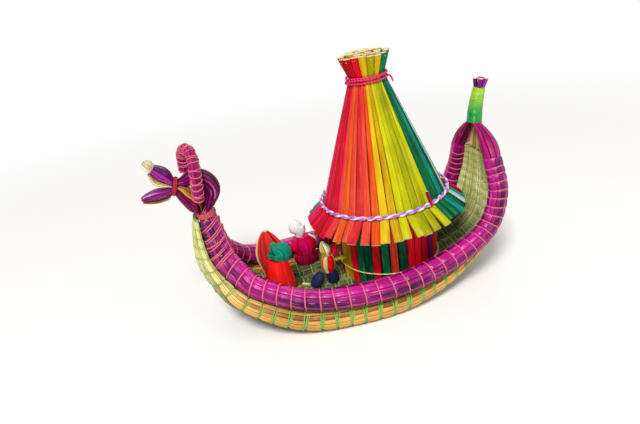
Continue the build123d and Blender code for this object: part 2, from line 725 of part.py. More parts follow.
piece_tops = {}
for name, (x, y), below, rows in doll_pieces:
    dx, dy, _, half_x, half_y = rows[0]
    seat = piece_tops[below] + seat_gap if below else floor_seat(x + dx, y + dy, half_x, half_y)
    piece_tops[name] = seat + rows[-1][2]
    placed = [(x + dx, y + dy, seat + dz, half_x, half_y) for dx, dy, dz, half_x, half_y in rows]
    parts[name] = bundle(placed, sides=roll_sides, start=Vector(0, 0, 1), end=Vector(0, 0, 1))
for name, below, rows in doll_side_pieces:
    x, y = hut_doll
    seat = floor_top(x + rows[0][0], y + rows[0][1]) if below == "floor" else piece_tops[below]
    placed = [(x + dx, y + dy, seat + seat_gap + dz, depth, width) for dx, dy, dz, depth, width in rows]
    parts[name] = bundle(placed, sides=straw_sides)

for name, shape in parts.items():
    export_step(Pos(-foot_behind_middle, 0, -foot_trim) * shape, f"parts/{name}.step")
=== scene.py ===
from collections import namedtuple
from math import atan, atan2, copysign, cos, hypot, pi, radians, sin, tan
from random import Random

import bmesh
import bpy
from mathutils import Matrix, Vector


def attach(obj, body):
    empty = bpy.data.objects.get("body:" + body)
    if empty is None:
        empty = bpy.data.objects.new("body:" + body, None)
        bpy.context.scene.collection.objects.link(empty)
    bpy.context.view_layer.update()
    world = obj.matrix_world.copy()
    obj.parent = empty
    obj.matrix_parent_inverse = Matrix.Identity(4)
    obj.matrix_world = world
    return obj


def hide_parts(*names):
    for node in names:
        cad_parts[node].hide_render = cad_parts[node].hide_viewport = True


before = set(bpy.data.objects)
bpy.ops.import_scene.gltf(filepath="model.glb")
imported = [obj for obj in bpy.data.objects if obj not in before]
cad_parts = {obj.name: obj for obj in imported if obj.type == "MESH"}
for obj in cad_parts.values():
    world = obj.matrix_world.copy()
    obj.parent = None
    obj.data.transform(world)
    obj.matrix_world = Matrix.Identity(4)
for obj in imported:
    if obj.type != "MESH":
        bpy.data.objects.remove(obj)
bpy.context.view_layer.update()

bl_info = {
    "name": "Reed Boat",
    "version": (1, 0, 0),
    "blender": (4, 5, 0),
    "location": "3D View > Sidebar > Reed Boat",
    "description": "Builds a small ornamental reed boat with a straw hut and straw dolls",
    "category": "Object",
}

# Tables are in millimetres. They count x from the middle of the hull's foot and z from a little
# under it, and TO_FRAME takes them to the frame, in metres.
PER_METRE = 1000
FOOT_Z = 0.4
TO_FRAME = Matrix.Scale(1 / PER_METRE, 4) @ Matrix.Translation((-9.65, 0, -FOOT_Z))

UP = Vector((0, 0, 1))
PORT = Vector((0, 1, 0))
BOW = Vector((1, 0, 0))
SIDES = {"port": Vector((1, 1, 1)), "starboard": Vector((1, -1, 1))}
WHITE = (1, 1, 1, 1)

# Hull, from the bow to the stern. Columns: x, y, z and radius of the port gunwale, the seat angle
# of the outer roll under it, the belly of the rolls, and the pitch of the lashings.
HULL_ROWS = [
    (94.3, 4.7, 88.9, 4.3, -13, 0.4, 5.0),
    (92.7, 7.2, 75.9, 6.6, -11, 2.6, 6.0),
    (89.6, 8.9, 56.7, 7.7, -11, 5.7, 7.0),
    (82.4, 17.0, 45.4, 7.7, -12, 7.5, 8.5),
    (72.2, 26.1, 35.9, 7.4, -8, 7.4, 9.0),
    (46.3, 39.0, 26.8, 7.4, 4, 3.2, 9.0),
    (17.3, 46.1, 24.5, 7.5, 15, 0.8, 9.5),
    (-21.1, 47.1, 24.5, 7.5, 20, 0.6, 9.5),
    (-58.1, 41.8, 30.4, 7.3, 28, 1.6, 8.5),
    (-87.5, 35.1, 42.0, 7.0, 45, 2.6, 7.0),
    (-99.2, 31.0, 64.4, 6.6, 72, 1.5, 5.5),
    (-100.1, 22.6, 86.9, 6.3, 80, 1.0, 4.5),
]
HULL_LAST = len(HULL_ROWS) - 1
ROLL_START = 0.4
SEAT_GAP = 0.3
GUNWALE_SLACK = 0.15
LASHING_STEP = 0.01
# Between two lashings. Columns: share of the way, and share by which a bundle is drawn in there.
DRAWN_IN = (
    (0.0, 1.0), (0.07, 0.62), (0.17, 0.16), (0.36, 0.0), (0.64, 0.0), (0.83, 0.16), (0.93, 0.62),
)
GUNWALE_BELLY = 1.005
GUNWALE_DRAWN = 0.09
ROLL_DRAWN = 0.14
# Radii by which the thread's thickness is set, and the place up to which its turns are doubled
GUNWALE_TYPICAL = 6.8
ROLL_TYPICAL = 6.6
DOUBLE_TURNS = 2.3
NECK_UP = Vector((0.1222, 0, 0.9925))
NECK_MIDDLE = Vector((94.3, 0, 88.9))
NECK_OUT = Vector((0.9925, 0, -0.1222))
NECK_DEPTH, NECK_WIDTH, NECK_CORNER = 5.6, 11.1, 5.3
STERN_UP = Vector((-0.0402, 0, 0.9992))
SLEEVE_UP = Vector((-0.115, 0, 0.9934))
JAW_MIDDLE = Vector((108.8, 0, 107.3))
JAW_ALONG = Vector((0.9336, 0, 0.3584))
JAW_UP = Vector((-0.3584, 0, 0.9336))

# Bundles of the head. Row columns: x, z, half depth and half width.
CROWN_ROWS = [
    (92.45, 89.43, 2.6, 9.2), (90.4, 93.5, 4.8, 10.0), (87.3, 101.2, 6.3, 10.2),
    (90.3, 107.9, 5.9, 9.4), (96.3, 110.6, 5.2, 7.6), (102.3, 109.4, 3.6, 5.6),
    (106.56, 109.23, 1.9, 3.8), (107.73, 109.67, 1.9, 3.8),
]
HEAD_STRAW_ROWS = [
    (95.73, 89.03, 0.4, 7.6), (96.3, 94.7, 1.2, 8.4), (100.6, 100.8, 2.6, 7.8),
    (103.8, 104.9, 2.5, 6.4), (107.2, 107.0, 1.2, 4.4), (108.66, 107.25, 0.5, 3.9),
]
CHIN_ROWS = [
    (98.51, 88.68, 2.1, 8.4), (100.7, 92.3, 3.8, 8.8), (104.5, 97.5, 3.2, 7.6),
    (107.3, 101.9, 2.4, 5.4), (108.42, 104.37, 1.9, 3.8), (109.59, 104.82, 1.9, 3.8),
]
UPPER_JAW_ROWS = [
    (108.01, 109.78, 1.9, 3.8), (109.18, 110.23, 1.9, 3.8), (112.4, 114.8, 4.1, 5.6),
    (115.6, 117.8, 4.7, 5.6), (119.1, 121.3, 3.0, 4.0),
]
LOWER_JAW_ROWS = [
    (109.87, 104.93, 1.9, 3.8), (111.04, 105.37, 1.9, 3.8), (114.7, 104.6, 2.9, 5.0),
    (120.3, 104.5, 3.5, 5.0), (125.9, 103.9, 2.7, 3.8), (130.2, 103.1, 1.4, 2.2),
]
UPPER_LINING_ROWS = [
    (110.07, 107.9, 0.3, 3.19), (117.05, 110.85, 1.7, 4.7), (120.13, 113.13, 1.5, 4.7),
    (122.07, 118.33, 0.9, 3.36),
]
LOWER_LINING_ROWS = [
    (112.26, 102.2, 0.5, 3.19), (114.32, 100.62, 0.7, 4.2), (120.01, 99.91, 0.8, 4.2),
    (125.38, 100.24, 0.7, 3.19), (129.8, 100.94, 0.5, 1.85),
]
SNOUT_ROWS = [
    (119.31, 121.51, 2.6, 3.8), (121.08, 123.28, 3.8, 4.6), (122.64, 124.84, 3.3, 4.0),
    (123.77, 125.97, 1.7, 2.2),
]

# Ear loop. Columns: x, y and z.
EAR_ROWS = [
    (96.3, 10.8, 99.2), (95.2, 12.0, 106.4), (94.6, 11.7, 113.9), (94.0, 9.6, 121.3),
    (94.6, 4.4, 126.8), (96.9, -2.2, 128.5), (99.5, -7.6, 125.3), (100.4, -9.9, 118.9),
    (100.7, -10.1, 112.4),
]
EAR_RADIUS = 3.6
EAR_THREAD = 0.36

# Stern. Row columns: x, y, z, half depth and half width.
STERN_REED_ROWS = [
    (-100.11, 22.6, 87.2, 5.92, 5.92), (-100.6, 17.6, 94.0, 5.2, 6.4),
    (-100.4, 11.0, 101.2, 3.7, 4.7), (-99.37, 3.6, 107.26, 1.3, 3.0),
]
# The same, with y for the straw next to the middle
STERN_STRAW_ROWS = [
    (-103.41, 5.0, 87.07, 2.4, 2.4), (-103.3, 4.2, 93.0, 2.3, 2.3), (-103.3, 2.7, 101.0, 1.5, 1.7),
    (-103.54, 1.5, 106.78, 0.7, 0.7),
]
# Sleeve. Columns: x, z and radius. Its ridges repeat along it, and its colour fades from one
# height to another, in metres.
SLEEVE_ROWS = [(-99.9, 107.5, 5.4), (-101.0, 117.0, 5.1), (-104.2, 130.6, 4.3)]
SLEEVE_RIDGES = (0.0, -0.12, -0.14, 0.0)
SLEEVE_FADE = (0.117, 0.131)
TUFT_FOOT = Vector((-104.27, 0, 130.89))
TUFT_UP = Vector((-0.229, 0, 0.9734))
TUFT_SIDE = Vector((0.9734, 0, 0.229))

# Hut
WALL_X = -27.9
WALL_RADIUS = 34.1
WALL_STRAWS = 36
WALL_TURN = radians(-3)
WALL_FOOT, WALL_TOP = 15.2, 80.2
BINDING_Z = 25.5
BINDING_OUT = 1.75
# The wall's straws in their order, from the bow
WALL_COLOURS = (
    "coral gold gold red green green red green coral green red red "
    "red purple red coral gold green red coral green gold red purple "
    "green red coral gold green red purple gold green coral red green"
).split()

# Roof. Heights go along its leaning axis, and angles start at the bow.
ROOF_BASE = Vector((-29.0, 0, 50.5))
ROOF_LEAN = radians(2.36)
ROOF_AXIS = Vector((sin(ROOF_LEAN), 0, cos(ROOF_LEAN)))
ROOF_SIDE = Vector((cos(ROOF_LEAN), 0, -sin(ROOF_LEAN)))
ROOF_STRAWS = 48
ROOF_TURN = radians(-20)
RING_HEIGHT = 21.5
RING_RADIUS = 44.0
RING_TWISTS = 24
WAIST_HEIGHT = 101.3
WAIST_RADIUS = 10.8
SKIRT_HEIGHT = 8.0
SKIRT_RADIUS = 56.0
BEND_RADIUS = 41.42
BEND_HEIGHT = 19.88
CONE_SLOPE = 0.416
# A straw's upper side faces these ways above the bend, on it and below it, as radius and height
UPPER_OUT = Vector((0.9233, 0.3841))
SEAT_OUT = Vector((0.847, 0.5316))
LOWER_OUT = Vector((0.7474, 0.6644))
STUB_ANGLE = radians(113)
TAIL_ANGLE = radians(150)
# Turns of the tie at the waist. Columns: rise, slant and wander.
WAIST_TURNS = ((-1.1, 0.4, 0.1), (0.5, 1.3, 0.4), (1.9, 0.3, 0.2))
# Columns: group of straws side by side, and their number
ROOF_GROUPS = [
    ("crimson", 6), ("salmon", 6), ("gold", 2), ("lime", 5), ("green", 6), ("crimson_aft", 5),
    ("orange", 6), ("purple", 5), ("teal", 7),
]

# Cut ends above the waist. Columns: straws, radius of their ring, a straw's radius, and how much
# wider than deep it is.
TOP_RINGS = [
    (18, 14.6, 2.36, 1.1), (12, 9.7, 2.32, 0.94), (6, 4.85, 2.25, 0.94), (1, 0.0, 2.25, 0.94),
]
TOP_HEIGHT = 117.4
TOP_TURN = radians(-12)
# Share of its size and place that a ring has at the waist
TOP_SPREAD = 0.66
# Columns: group in the outer ring, and its straws
TOP_GROUPS = [("red", 4), ("gold", 3), ("green", 4), ("aft", 7)]

# Loose straw ends on the floor. Columns: x, y and turn.
FLOOR_STUBS = ((41.0, 14.0, 0.3), (43.5, 10.0, 1.0), (38.0, 8.0, -0.4), (46.0, 15.5, 0.9))

FOLD_CORNERS = 30
CORD_SIDES = 8
CORD_PATTERN = 0.1
# Millimetres along the cord in a turn of one radian, for its fibres
RING_ALONG = 7.0
# Stands for the last finish of a piece, which is its cut ends'
CUT_END = 99

LIGHTS_AIM = Vector((0, 0, 0.07))
FLOOR_FADE = (0.22, 0.75)

# Camera of the photo, in metres of the frame, and its lens in columns of the photo
CAMERA_PLACE = Vector((0.07815, 0.3426, 0.2173))
CAMERA_AZIMUTH, CAMERA_RISE, CAMERA_ROLL = radians(11.41), radians(23.32), radians(8.66)
LENS_COLUMNS = 551.84
PHOTO_COLUMNS = 640
SENSOR = 36.0

Station = namedtuple("Station", "middle depth width along")
Corner = namedtuple("Corner", "depth width groove strip")
Section = namedtuple("Section", "gunwale radius roll rolls pitch")


def from_screen(red, green, blue):
    """Linear colour from the numbers that a screen shows, 0 to 255."""
    shares = [value / 255 for value in (red, green, blue)]
    return tuple(s / 12.92 if s <= 0.04045 else ((s + 0.055) / 1.055) ** 2.4 for s in shares)


def colour(name, description, *shown):
    return bpy.props.FloatVectorProperty(
        name=name, description=description, subtype="COLOR", size=3, min=0, max=1,
        default=from_screen(*shown),
    )


def length(name, description, metres):
    return bpy.props.FloatProperty(
        name=name, description=description, unit="LENGTH", min=0, default=metres
    )


def count(name, description, number):
    return bpy.props.IntProperty(name=name, description=description, min=1, default=number)


class REEDBOAT_Sizes(bpy.types.PropertyGroup):
    gunwale_strips: count("Gunwale Strips", "Flat reed strips round a purple gunwale", 14)
    roll_strips: count("Roll Strips", "Reeds round a natural roll", 16)
    gunwale_thread: length("Gunwale Thread", "Radius of the pink lashing thread", 0.00052)
    roll_thread: length("Roll Thread", "Radius of the green lashing thread", 0.00042)
    straw_wall: length("Straw Wall", "Thickness of a cut straw's wall", 0.00042)
    cut_depth: length("Cut Depth", "How deep a cut straw's end is open", 0.0014)


class REEDBOAT_Colours(bpy.types.PropertyGroup):
    purple_light: colour("Purple Reed, Light", "Sunlit strips of the dyed reed", 204, 14, 144)
    purple_deep: colour("Purple Reed, Deep", "Darkest strips of the dyed reed", 54, 0, 52)
    reed_light: colour("Natural Reed, Light", "Pale natural reed", 242, 186, 98)
    reed_deep: colour("Natural Reed, Deep", "Olive natural reed", 130, 84, 28)
    # The inside reed is the natural reed darkened with painted shade, for the inner and middle
    # rolls on the floor of the boat
    inside_light: colour("Shaded Inside Reed, Light", "Pale reed on the floor of the boat", 138, 138, 84)
    inside_deep: colour("Shaded Inside Reed, Deep", "Dark reed on the floor of the boat", 50, 58, 34)
    # Colours that the reed takes high up, at the bow and the stern; over the inside reed's painted
    # shade they are partly painted light
    fresh_light: colour("High Reed, Light", "Pale yellow-green reed near the ends", 255, 252, 186)
    fresh_deep: colour("High Reed, Deep", "Yellow-green reed near the ends", 190, 192, 84)
    pink_thread: colour("Pink Thread", "Lashings of the gunwales", 240, 84, 112)
    green_thread: colour("Green Thread", "Lashings of the natural rolls", 104, 214, 62)
    red_thread: colour("Red Thread", "Neck and jaw ties", 222, 34, 58)
    lilac_thread: colour("Lilac Thread", "Cord round the roof", 196, 130, 214)


class Field:
    """A value in a material that can be written into sums, products and differences."""

    def __init__(self, finish, socket):
        self.finish = finish
        self.socket = socket

    def __add__(self, other):
        return self.finish.maths("ADD", self, other)

    def __sub__(self, other):
        return self.finish.maths("SUBTRACT", self, other)

    def __mul__(self, other):
        return self.finish.maths("MULTIPLY", self, other)

    __radd__ = __add__


class Finish:
    """The nodes of a material or of the world."""

    def __init__(self, owner):
        owner.use_nodes = True
        self.owner = owner
        self.tree = owner.node_tree
        self.tree.nodes.clear()

    def node(self, kind, sockets=None, out=0, **settings):
        made = self.tree.nodes.new(f"ShaderNode{kind}")
        for key, value in settings.items():
            setattr(made, key, value)
        for key, value in (sockets or {}).items():
            if isinstance(value, Field):
                self.tree.links.new(value.socket, made.inputs[key])
            else:
                made.inputs[key].default_value = value
        return Field(self, made.outputs[out])

    def maths(self, operation, first, second=0.0):
        return self.node("Math", {0: first, 1: second}, operation=operation)

    def share(self, value, low, high):
        """0 below low, 1 above high."""
        return self.node("MapRange", {0: value, 1: low, 2: high}, clamp=True)

    def blend(self, factor, first, second):
        sockets = {0: factor, 6: rgba(first), 7: rgba(second)}
        return self.node("Mix", sockets, out=2, data_type="RGBA", clamp_factor=True)

    def noise(self, vector, detail=2.0, roughness=0.55):
        sockets = {"Vector": vector, "Scale": 1.0, "Detail": detail, "Roughness": roughness}
        return self.node("TexNoise", sockets, noise_dimensions="3D")

    def vector(self, x, y, z):
        return self.node("CombineXYZ", {0: x, 1: y, 2: z})

    def attribute(self, name):
        return self.node("Attribute", out="Fac", attribute_name=name)

    def place(self):
        """Place in the frame, in metres."""
        return self.node("TexCoord", out="Object")

    def height(self):
        """Height above the ground in metres."""
        return self.node("SeparateXYZ", {0: self.place()}, out=2)

    def reed_place(self):
        """Share of the way round a bundle, and millimetres along it."""
        split = self.node("SeparateXYZ", {0: self.node("UVMap", uv_map="Reed")})
        return split, Field(self, split.socket.node.outputs[1])

    def surface(self, base, roughness, height, depth, coat=0.0, specular=0.22):
        bump = self.node("Bump", {"Strength": 1.0, "Distance": depth, "Height": height})
        shader = self.node("BsdfPrincipled", {
            "Base Color": base, "Roughness": roughness, "Normal": bump, "Coat Weight": coat,
            "Coat Roughness": 0.2, "Specular IOR Level": specular,
        })
        return self.output("Material", shader)

    def output(self, kind, shader):
        made = self.tree.nodes.new(f"ShaderNodeOutput{kind}")
        self.tree.links.new(shader.socket, made.inputs["Surface"])
        return self.owner


def new_finish(name):
    return Finish(bpy.data.materials.new(name))


def rgba(value):
    return value if isinstance(value, Field) else (*value, 1.0)


def mixed(first, second, share):
    """A colour between two, worked out in plain numbers."""
    return tuple(a + (b - a) * share for a, b in zip(first, second))


def linear(value):
    """Linear colour of an entry in the table of finishes."""
    if isinstance(value, str):
        return getattr(bpy.context.scene.reedboat_colours, value)
    if isinstance(value[0], str):
        name, tint, share = value
        return mixed(linear(name), tint, share)
    return from_screen(*value)


def dyed_straw(name, light, deep, fibres=70, contrast=1.0, gloss=0.34, coat=0.12, streak=0.3,
               specular=0.18, ends=None):
    """Straw or split reed: fine fibres along it, each strip lighter or deeper than the next, with
    painted highlight streaks.

    ends gives the light and deep colour that it takes on high up, at the bow and the stern. Over
    the inside reed's painted shade, this paler top is partly painted light."""
    finish = new_finish(name)
    around, along = finish.reed_place()
    tone = finish.attribute("tone")
    groove = finish.attribute("groove")
    fibre = finish.noise(finish.vector(around * fibres, along * 0.03, tone * 31.0), 3.0, 0.65)
    fine = finish.noise(finish.vector(around * (fibres * 3.5), along * 0.09, tone * 17.0))
    # Patches of paler and deeper tone, which also place the painted highlight below
    patches_and_sheen = finish.noise(finish.vector(around * 5.0, along * 0.11, tone * 11.0))
    wide = finish.noise(finish.vector(around, along * 0.022, 5.0), 1.0)
    shade = (
        finish.share(fibre, 0.32, 0.7) * (0.55 * contrast)
        + finish.share(patches_and_sheen, 0.25, 0.75) * (0.32 * contrast)
        + finish.share(fine, 0.3, 0.7) * (0.2 * contrast)
        + (tone - 0.5) * (0.85 * contrast)
        + finish.share(wide, 0.3, 0.7) * (0.4 * contrast)
        + (0.5 - 0.74 * contrast)
    )
    shade = finish.share(shade, 0.0, 1.0)
    base = finish.blend(shade, deep, light)
    # Paler yellow-green higher up; on the inside reed this is partly painted light, where its
    # painted shade gives way
    if ends:
        high = finish.share(finish.height() + patches_and_sheen * 0.02, 0.036, 0.068)
        base = finish.blend(high, base, finish.blend(shade, linear(ends[1]), linear(ends[0])))
    # Painted highlight: pale pinkish streaks where the fibres and the patches line up, as strong as
    # streak
    highlight_mask = finish.share(fibre * 0.6 + patches_and_sheen * 0.4, 0.58, 0.7) * streak
    base = finish.blend(highlight_mask, base, mixed(light, (1.0, 0.86, 0.88), 0.55))
    shadow = mixed(deep, (0.0, 0.0, 0.0), 0.7)
    base = finish.blend(finish.share(groove, 0.35, 1.0) * 0.88, base, shadow)
    rough = finish.share(fibre, 0.2, 0.8) * 0.14 + finish.share(patches_and_sheen, 0.3, 0.8) * 0.12 + gloss
    height = fibre * 0.5 + fine * 0.25 - groove * 0.6
    return finish.surface(base, rough, height, 0.00022, coat, specular)


def cut_straw(name, light, deep):
    """The pale cut end of a straw, with its pith."""
    finish = new_finish(name)
    scaled = finish.node("VectorMath", {0: finish.place(), "Scale": 1600.0}, operation="SCALE")
    pith = finish.noise(scaled, 3.0, 0.7)
    base = finish.blend(finish.share(pith, 0.3, 0.7), deep, light)
    return finish.surface(base, pith * 0.3 + 0.55, pith, 0.0002)


def spun_thread(name, light, deep):
    """Cotton thread of two plies, which turn 0.9 times in a millimetre."""
    finish = new_finish(name)
    around, along = finish.reed_place()
    lay = finish.maths("SINE", (around + along * 0.9) * (2 * pi))
    fuzz = finish.noise(finish.vector(around * 6.0, along * 2.5, 0.0), 3.0, 0.7)
    # Painted shade along the twist: darker in the grooves between the plies, lighter on their
    # crowns, mixed with fuzz
    shade = lay * 0.32 + fuzz * 0.7 + 0.15
    base = finish.blend(finish.share(shade, 0.0, 1.0), deep, light)
    return finish.surface(base, fuzz * 0.25 + 0.42, lay * 0.5 + fuzz * 0.3, 0.00018, 0.05)


def wound_thread(name, high, low, shadow):
    """Glossy thread wound close, from one colour at the bottom to another at the top."""
    finish = new_finish(name)
    around, along = finish.reed_place()
    wander = finish.noise(finish.vector(around * 2.0, along * 0.4, 0.0))
    turns = finish.maths("SINE", (along * 1.3 + around + wander * 1.2) * (2 * pi))
    rise = finish.share(finish.height() + wander * 0.006, *SLEEVE_FADE)
    base = finish.blend(rise, low, high)
    base = finish.blend(finish.share(turns, 0.0, 1.0) * 0.6, base, linear(shadow))
    # Painted highlight: patches where the wander is high turn toward a pale yellow-lime
    patches_and_sheen = finish.share(wander, 0.58, 0.72) * 0.4
    base = finish.blend(patches_and_sheen, base, mixed(high, (1, 1, 0.7), 0.4))
    return finish.surface(base, wander * 0.2 + 0.16, wander - turns * 0.3, 0.00012, 0.2)


# Finishes. Columns: what makes it, its light and deep colour, and its look. A colour is what a
# screen shows, or a colour of the panel by its name, alone or with a tint and the tint's share.
HIGH_REED = ("fresh_light", "fresh_deep")
FINISHES = {
    "Natural reed": (dyed_straw, "reed_light", "reed_deep",
                     dict(fibres=90, gloss=0.44, coat=0.04, contrast=1.2, ends=HIGH_REED)),
    # Painted shade: a darker copy of the natural reed for the floor rolls
    "Inside reed": (dyed_straw, "inside_light", "inside_deep",
                    dict(gloss=0.44, streak=0.15, ends=HIGH_REED)),
    "Purple reed": (dyed_straw, "purple_light", "purple_deep",
                    dict(fibres=110, gloss=0.22, coat=0.22, streak=0.5, contrast=1.3)),
    "Dark purple reed": (dyed_straw, (136, 6, 100), (34, 0, 32),
                         dict(fibres=60, coat=0.0, contrast=1.25, streak=0.5, specular=0.08)),
    "Violet reed": (dyed_straw, (182, 36, 158), (70, 0, 76),
                    dict(fibres=60, gloss=0.22, coat=0.2, contrast=1.1, streak=0.85)),
    "Magenta reed": (dyed_straw, (214, 20, 130), (92, 0, 54),
                     dict(fibres=60, gloss=0.26, coat=0.1, streak=0.5)),
    "Yellow straw": (dyed_straw, (246, 208, 92), (172, 112, 24), dict(fibres=50)),
    "Cream straw": (dyed_straw, (250, 224, 150), (150, 104, 40), dict(fibres=50, contrast=1.3)),
    "Pale reed": (dyed_straw, (255, 250, 232), (186, 172, 124), dict(fibres=40, contrast=1.2)),
    "Olive straw": (dyed_straw, (244, 222, 132), (146, 128, 46), dict(fibres=40)),
    "Cream cut end": (cut_straw, (255, 244, 214), (206, 178, 132), {}),
    "Green winding": (wound_thread, (168, 214, 40), (0, 164, 66), dict(shadow=(0, 84, 44))),
    "Green thread": (spun_thread, ("green_thread", (1, 1, 0.6), 0.3),
                     ("green_thread", (0, 0.1, 0), 0.5), {}),
    "Pink thread": (spun_thread, ("pink_thread", (1, 1, 1), 0.2),
                    ("pink_thread", (0.25, 0, 0), 0.6), {}),
    "Red thread": (spun_thread, ("red_thread", (1, 0.5, 0.4), 0.3),
                   ("red_thread", (0.1, 0, 0), 0.7), {}),
    "Deep red thread": (spun_thread, (222, 52, 66), (104, 0, 18), {}),
    "Cream thread": (spun_thread, (250, 236, 170), (190, 160, 90), {}),
    "Rose thread": (spun_thread, (248, 52, 120), (160, 0, 48), {}),
    "White ply": (spun_thread, (250, 240, 252), ("lilac_thread", (0.3, 0.1, 0.4), 0.3), {}),
    "Lilac ply": (spun_thread, ("lilac_thread", (1, 1, 1), 0.15),
                  ("lilac_thread", (0.12, 0, 0.16), 0.75), {}),
}
STRAW_LOOK = dict(fibres=26, contrast=0.9, gloss=0.44, coat=0.0, streak=0.2, specular=0.09)
# Columns: a straw's light and deep colour, as a screen shows them.
STRAW_COLOURS = {
    "magenta": ((255, 0, 108), (186, 0, 76)),
    "crimson": ((255, 2, 66), (184, 0, 40)),
    # crimson_aft is crimson darkened with painted shade, as on the roof's shaded aft side; the roof
    # stub and the far doll's skirt take it too
    "crimson_aft": ((190, 8, 74), (96, 0, 34)),
    "red": ((240, 20, 38), (160, 0, 16)),
    "scarlet": ((255, 40, 30), (196, 6, 16)),
    "rosy": ((238, 66, 62), (194, 18, 30)),
    "jade": ((12, 152, 116), (0, 74, 62)),
    "salmon": ((248, 92, 78), (190, 26, 36)),
    "coral": ((240, 88, 62), (168, 26, 20)),
    "orange": ((250, 124, 40), (200, 54, 16)),
    "gold": ((238, 204, 22), (170, 126, 0)),
    "lime": ((204, 200, 8), (128, 128, 0)),
    "green": ((0, 136, 76), (0, 56, 36)),
    "teal": ((0, 154, 128), (0, 74, 72)),
    "silver": ((206, 222, 222), (72, 134, 130)),
    "purple": ((150, 26, 146), (62, 0, 66)),
    "white": ((255, 254, 252), (226, 226, 230)),
    "pale": ((250, 246, 190), (186, 190, 84)),
    "navy": ((42, 48, 98), (4, 4, 28)),
}
# The colours of the straws in a group, where they differ from the group's own
ROOF_MIXES = {
    "crimson": "magenta magenta crimson crimson red crimson",
    "salmon": "salmon orange coral salmon coral orange",
    "green": "green green teal green silver teal",
    "crimson_aft": "crimson_aft magenta crimson_aft crimson_aft magenta",
    "teal": "teal green teal silver teal teal teal",
}
TOP_MIXES = {
    "aft": "green teal crimson red orange purple magenta",
    "gold": "gold gold lime",
    "inner": "lime gold pale orange gold pale",
}


def finish_named(name):
    """A finish of the tables, made when it is first asked for."""
    known = bpy.data.materials.get(name)
    if known:
        return known
    if name in FINISHES:
        make, light, deep, look = FINISHES[name]
    else:
        make, look = dyed_straw, STRAW_LOOK
        light, deep = STRAW_COLOURS[name.removeprefix("Straw ")]
    return make(name, linear(light), linear(deep), **look)


def straw_finishes(mix):
    """The finishes of a group of straws, cut ends last, and which of them each straw takes.

    mix names the straws' colours in turn."""
    names = mix.split()
    kinds = sorted(set(names))
    return [f"Straw {kind}" for kind in kinds] + ["Cream cut end"], [kinds.index(n) for n in names]


def smooth(rows, place):
    """Smooth value of every column at a place counted in rows."""
    last = len(rows) - 1
    low = min(max(int(place), 0), last - 1)
    f = place - low
    a, b, c, d = (rows[min(max(k, 0), last)] for k in (low - 1, low, low + 1, low + 2))
    return [
        0.5 * (2 * q + (r - p) * f + (2 * p - 5 * q + 4 * r - s) * f ** 2
               + (3 * q - p - 3 * r + s) * f ** 3)
        for p, q, r, s in zip(a, b, c, d)
    ]


def refined(rows, steps):
    """The same rows with smooth ones between them."""
    return [smooth(rows, k / steps) for k in range(steps * (len(rows) - 1) + 1)]


def on_centre(rows):
    """Full rows from x, z, half depth and half width."""
    return [(x, 0.0, z, depth, width) for x, z, depth, width in rows]


def hull_section(place):
    """Gunwale centre and radius, the rolls' radius and centres to port, and the lashings' pitch."""
    x, y, z, radius, seat, belly, pitch = smooth(HULL_ROWS, place)
    ahead = smooth(HULL_ROWS, place - 0.02)
    behind = smooth(HULL_ROWS, place + 0.02)
    along = Vector((behind[0] - ahead[0], 0, behind[2] - ahead[2])).normalized()
    outboard = Vector((-along.z, 0, along.x))
    seat = radians(seat)
    roll = radius
    # The rolls lie on an arc, and the outer one is two and a half rolls from its middle
    for _ in range(12):
        reach = radius + roll + SEAT_GAP
        side = y - reach * sin(seat)
        half_angle = 2 * atan(belly / side)
        bend = side / sin(half_angle)
        roll = (bend * half_angle / 2.5 - SEAT_GAP) / 2
    centres = []
    for k in range(3):
        angle = half_angle * (2 * k + 1) / 5
        out = reach * cos(seat) + bend * (cos(angle) - cos(half_angle))
        centres.append(Vector((x, 0, z)) + outboard * out + Vector((0, bend * sin(angle), 0)))
    return Section(Vector((x, y, z)), radius, roll, centres, pitch)


FINE_STEPS = 8
FINE_SECTIONS = [hull_section(k / FINE_STEPS) for k in range(FINE_STEPS * HULL_LAST + 1)]


def line_distance(point, line):
    """Distance from a point to the nearest stretch of a line through points."""
    distances = []
    for a, b in zip(line, line[1:]):
        share = (point - a).dot(b - a) / (b - a).length_squared
        distances.append((a + (b - a) * min(max(share, 0), 1) - point).length)
    return min(distances)


def roll_radius(section, k):
    """Radius of a natural roll, kept clear of the rolls beside it and of the gunwale."""
    centre = section.rolls[k]
    limits = [section.roll, centre.y - SEAT_GAP / 2]
    for beside in (k - 1, k + 1):
        if 0 <= beside < 3:
            line = [s.rolls[beside] for s in FINE_SECTIONS]
            limits.append((line_distance(centre, line) - SEAT_GAP) / 2)
    line = [s.gunwale for s in FINE_SECTIONS]
    limits.append(line_distance(centre, line) - section.radius - SEAT_GAP - GUNWALE_SLACK)
    return min(limits)


def lashing_places():
    """Places along the hull where a lashing draws the gunwale in, a pitch apart."""
    places = [0.0]
    turns = 0.0
    place = 0.0
    here = hull_section(place)
    while place < HULL_LAST - LASHING_STEP:
        place += LASHING_STEP
        there = hull_section(place)
        turns += (there.gunwale - here.gunwale).length / here.pitch
        here = there
        if turns >= 1:
            turns -= 1
            places.append(place)
    places[-1] = HULL_LAST
    return places


LASHINGS = lashing_places()


def between_lashings(first_place=0.0):
    """Places along the hull, with the share by which the bundle is drawn in at each."""
    places = [
        (here + (there - here) * share, drawn)
        for here, there in zip(LASHINGS, LASHINGS[1:]) for share, drawn in DRAWN_IN
    ]
    return [row for row in (*places, (HULL_LAST, 1.0)) if row[0] >= first_place]


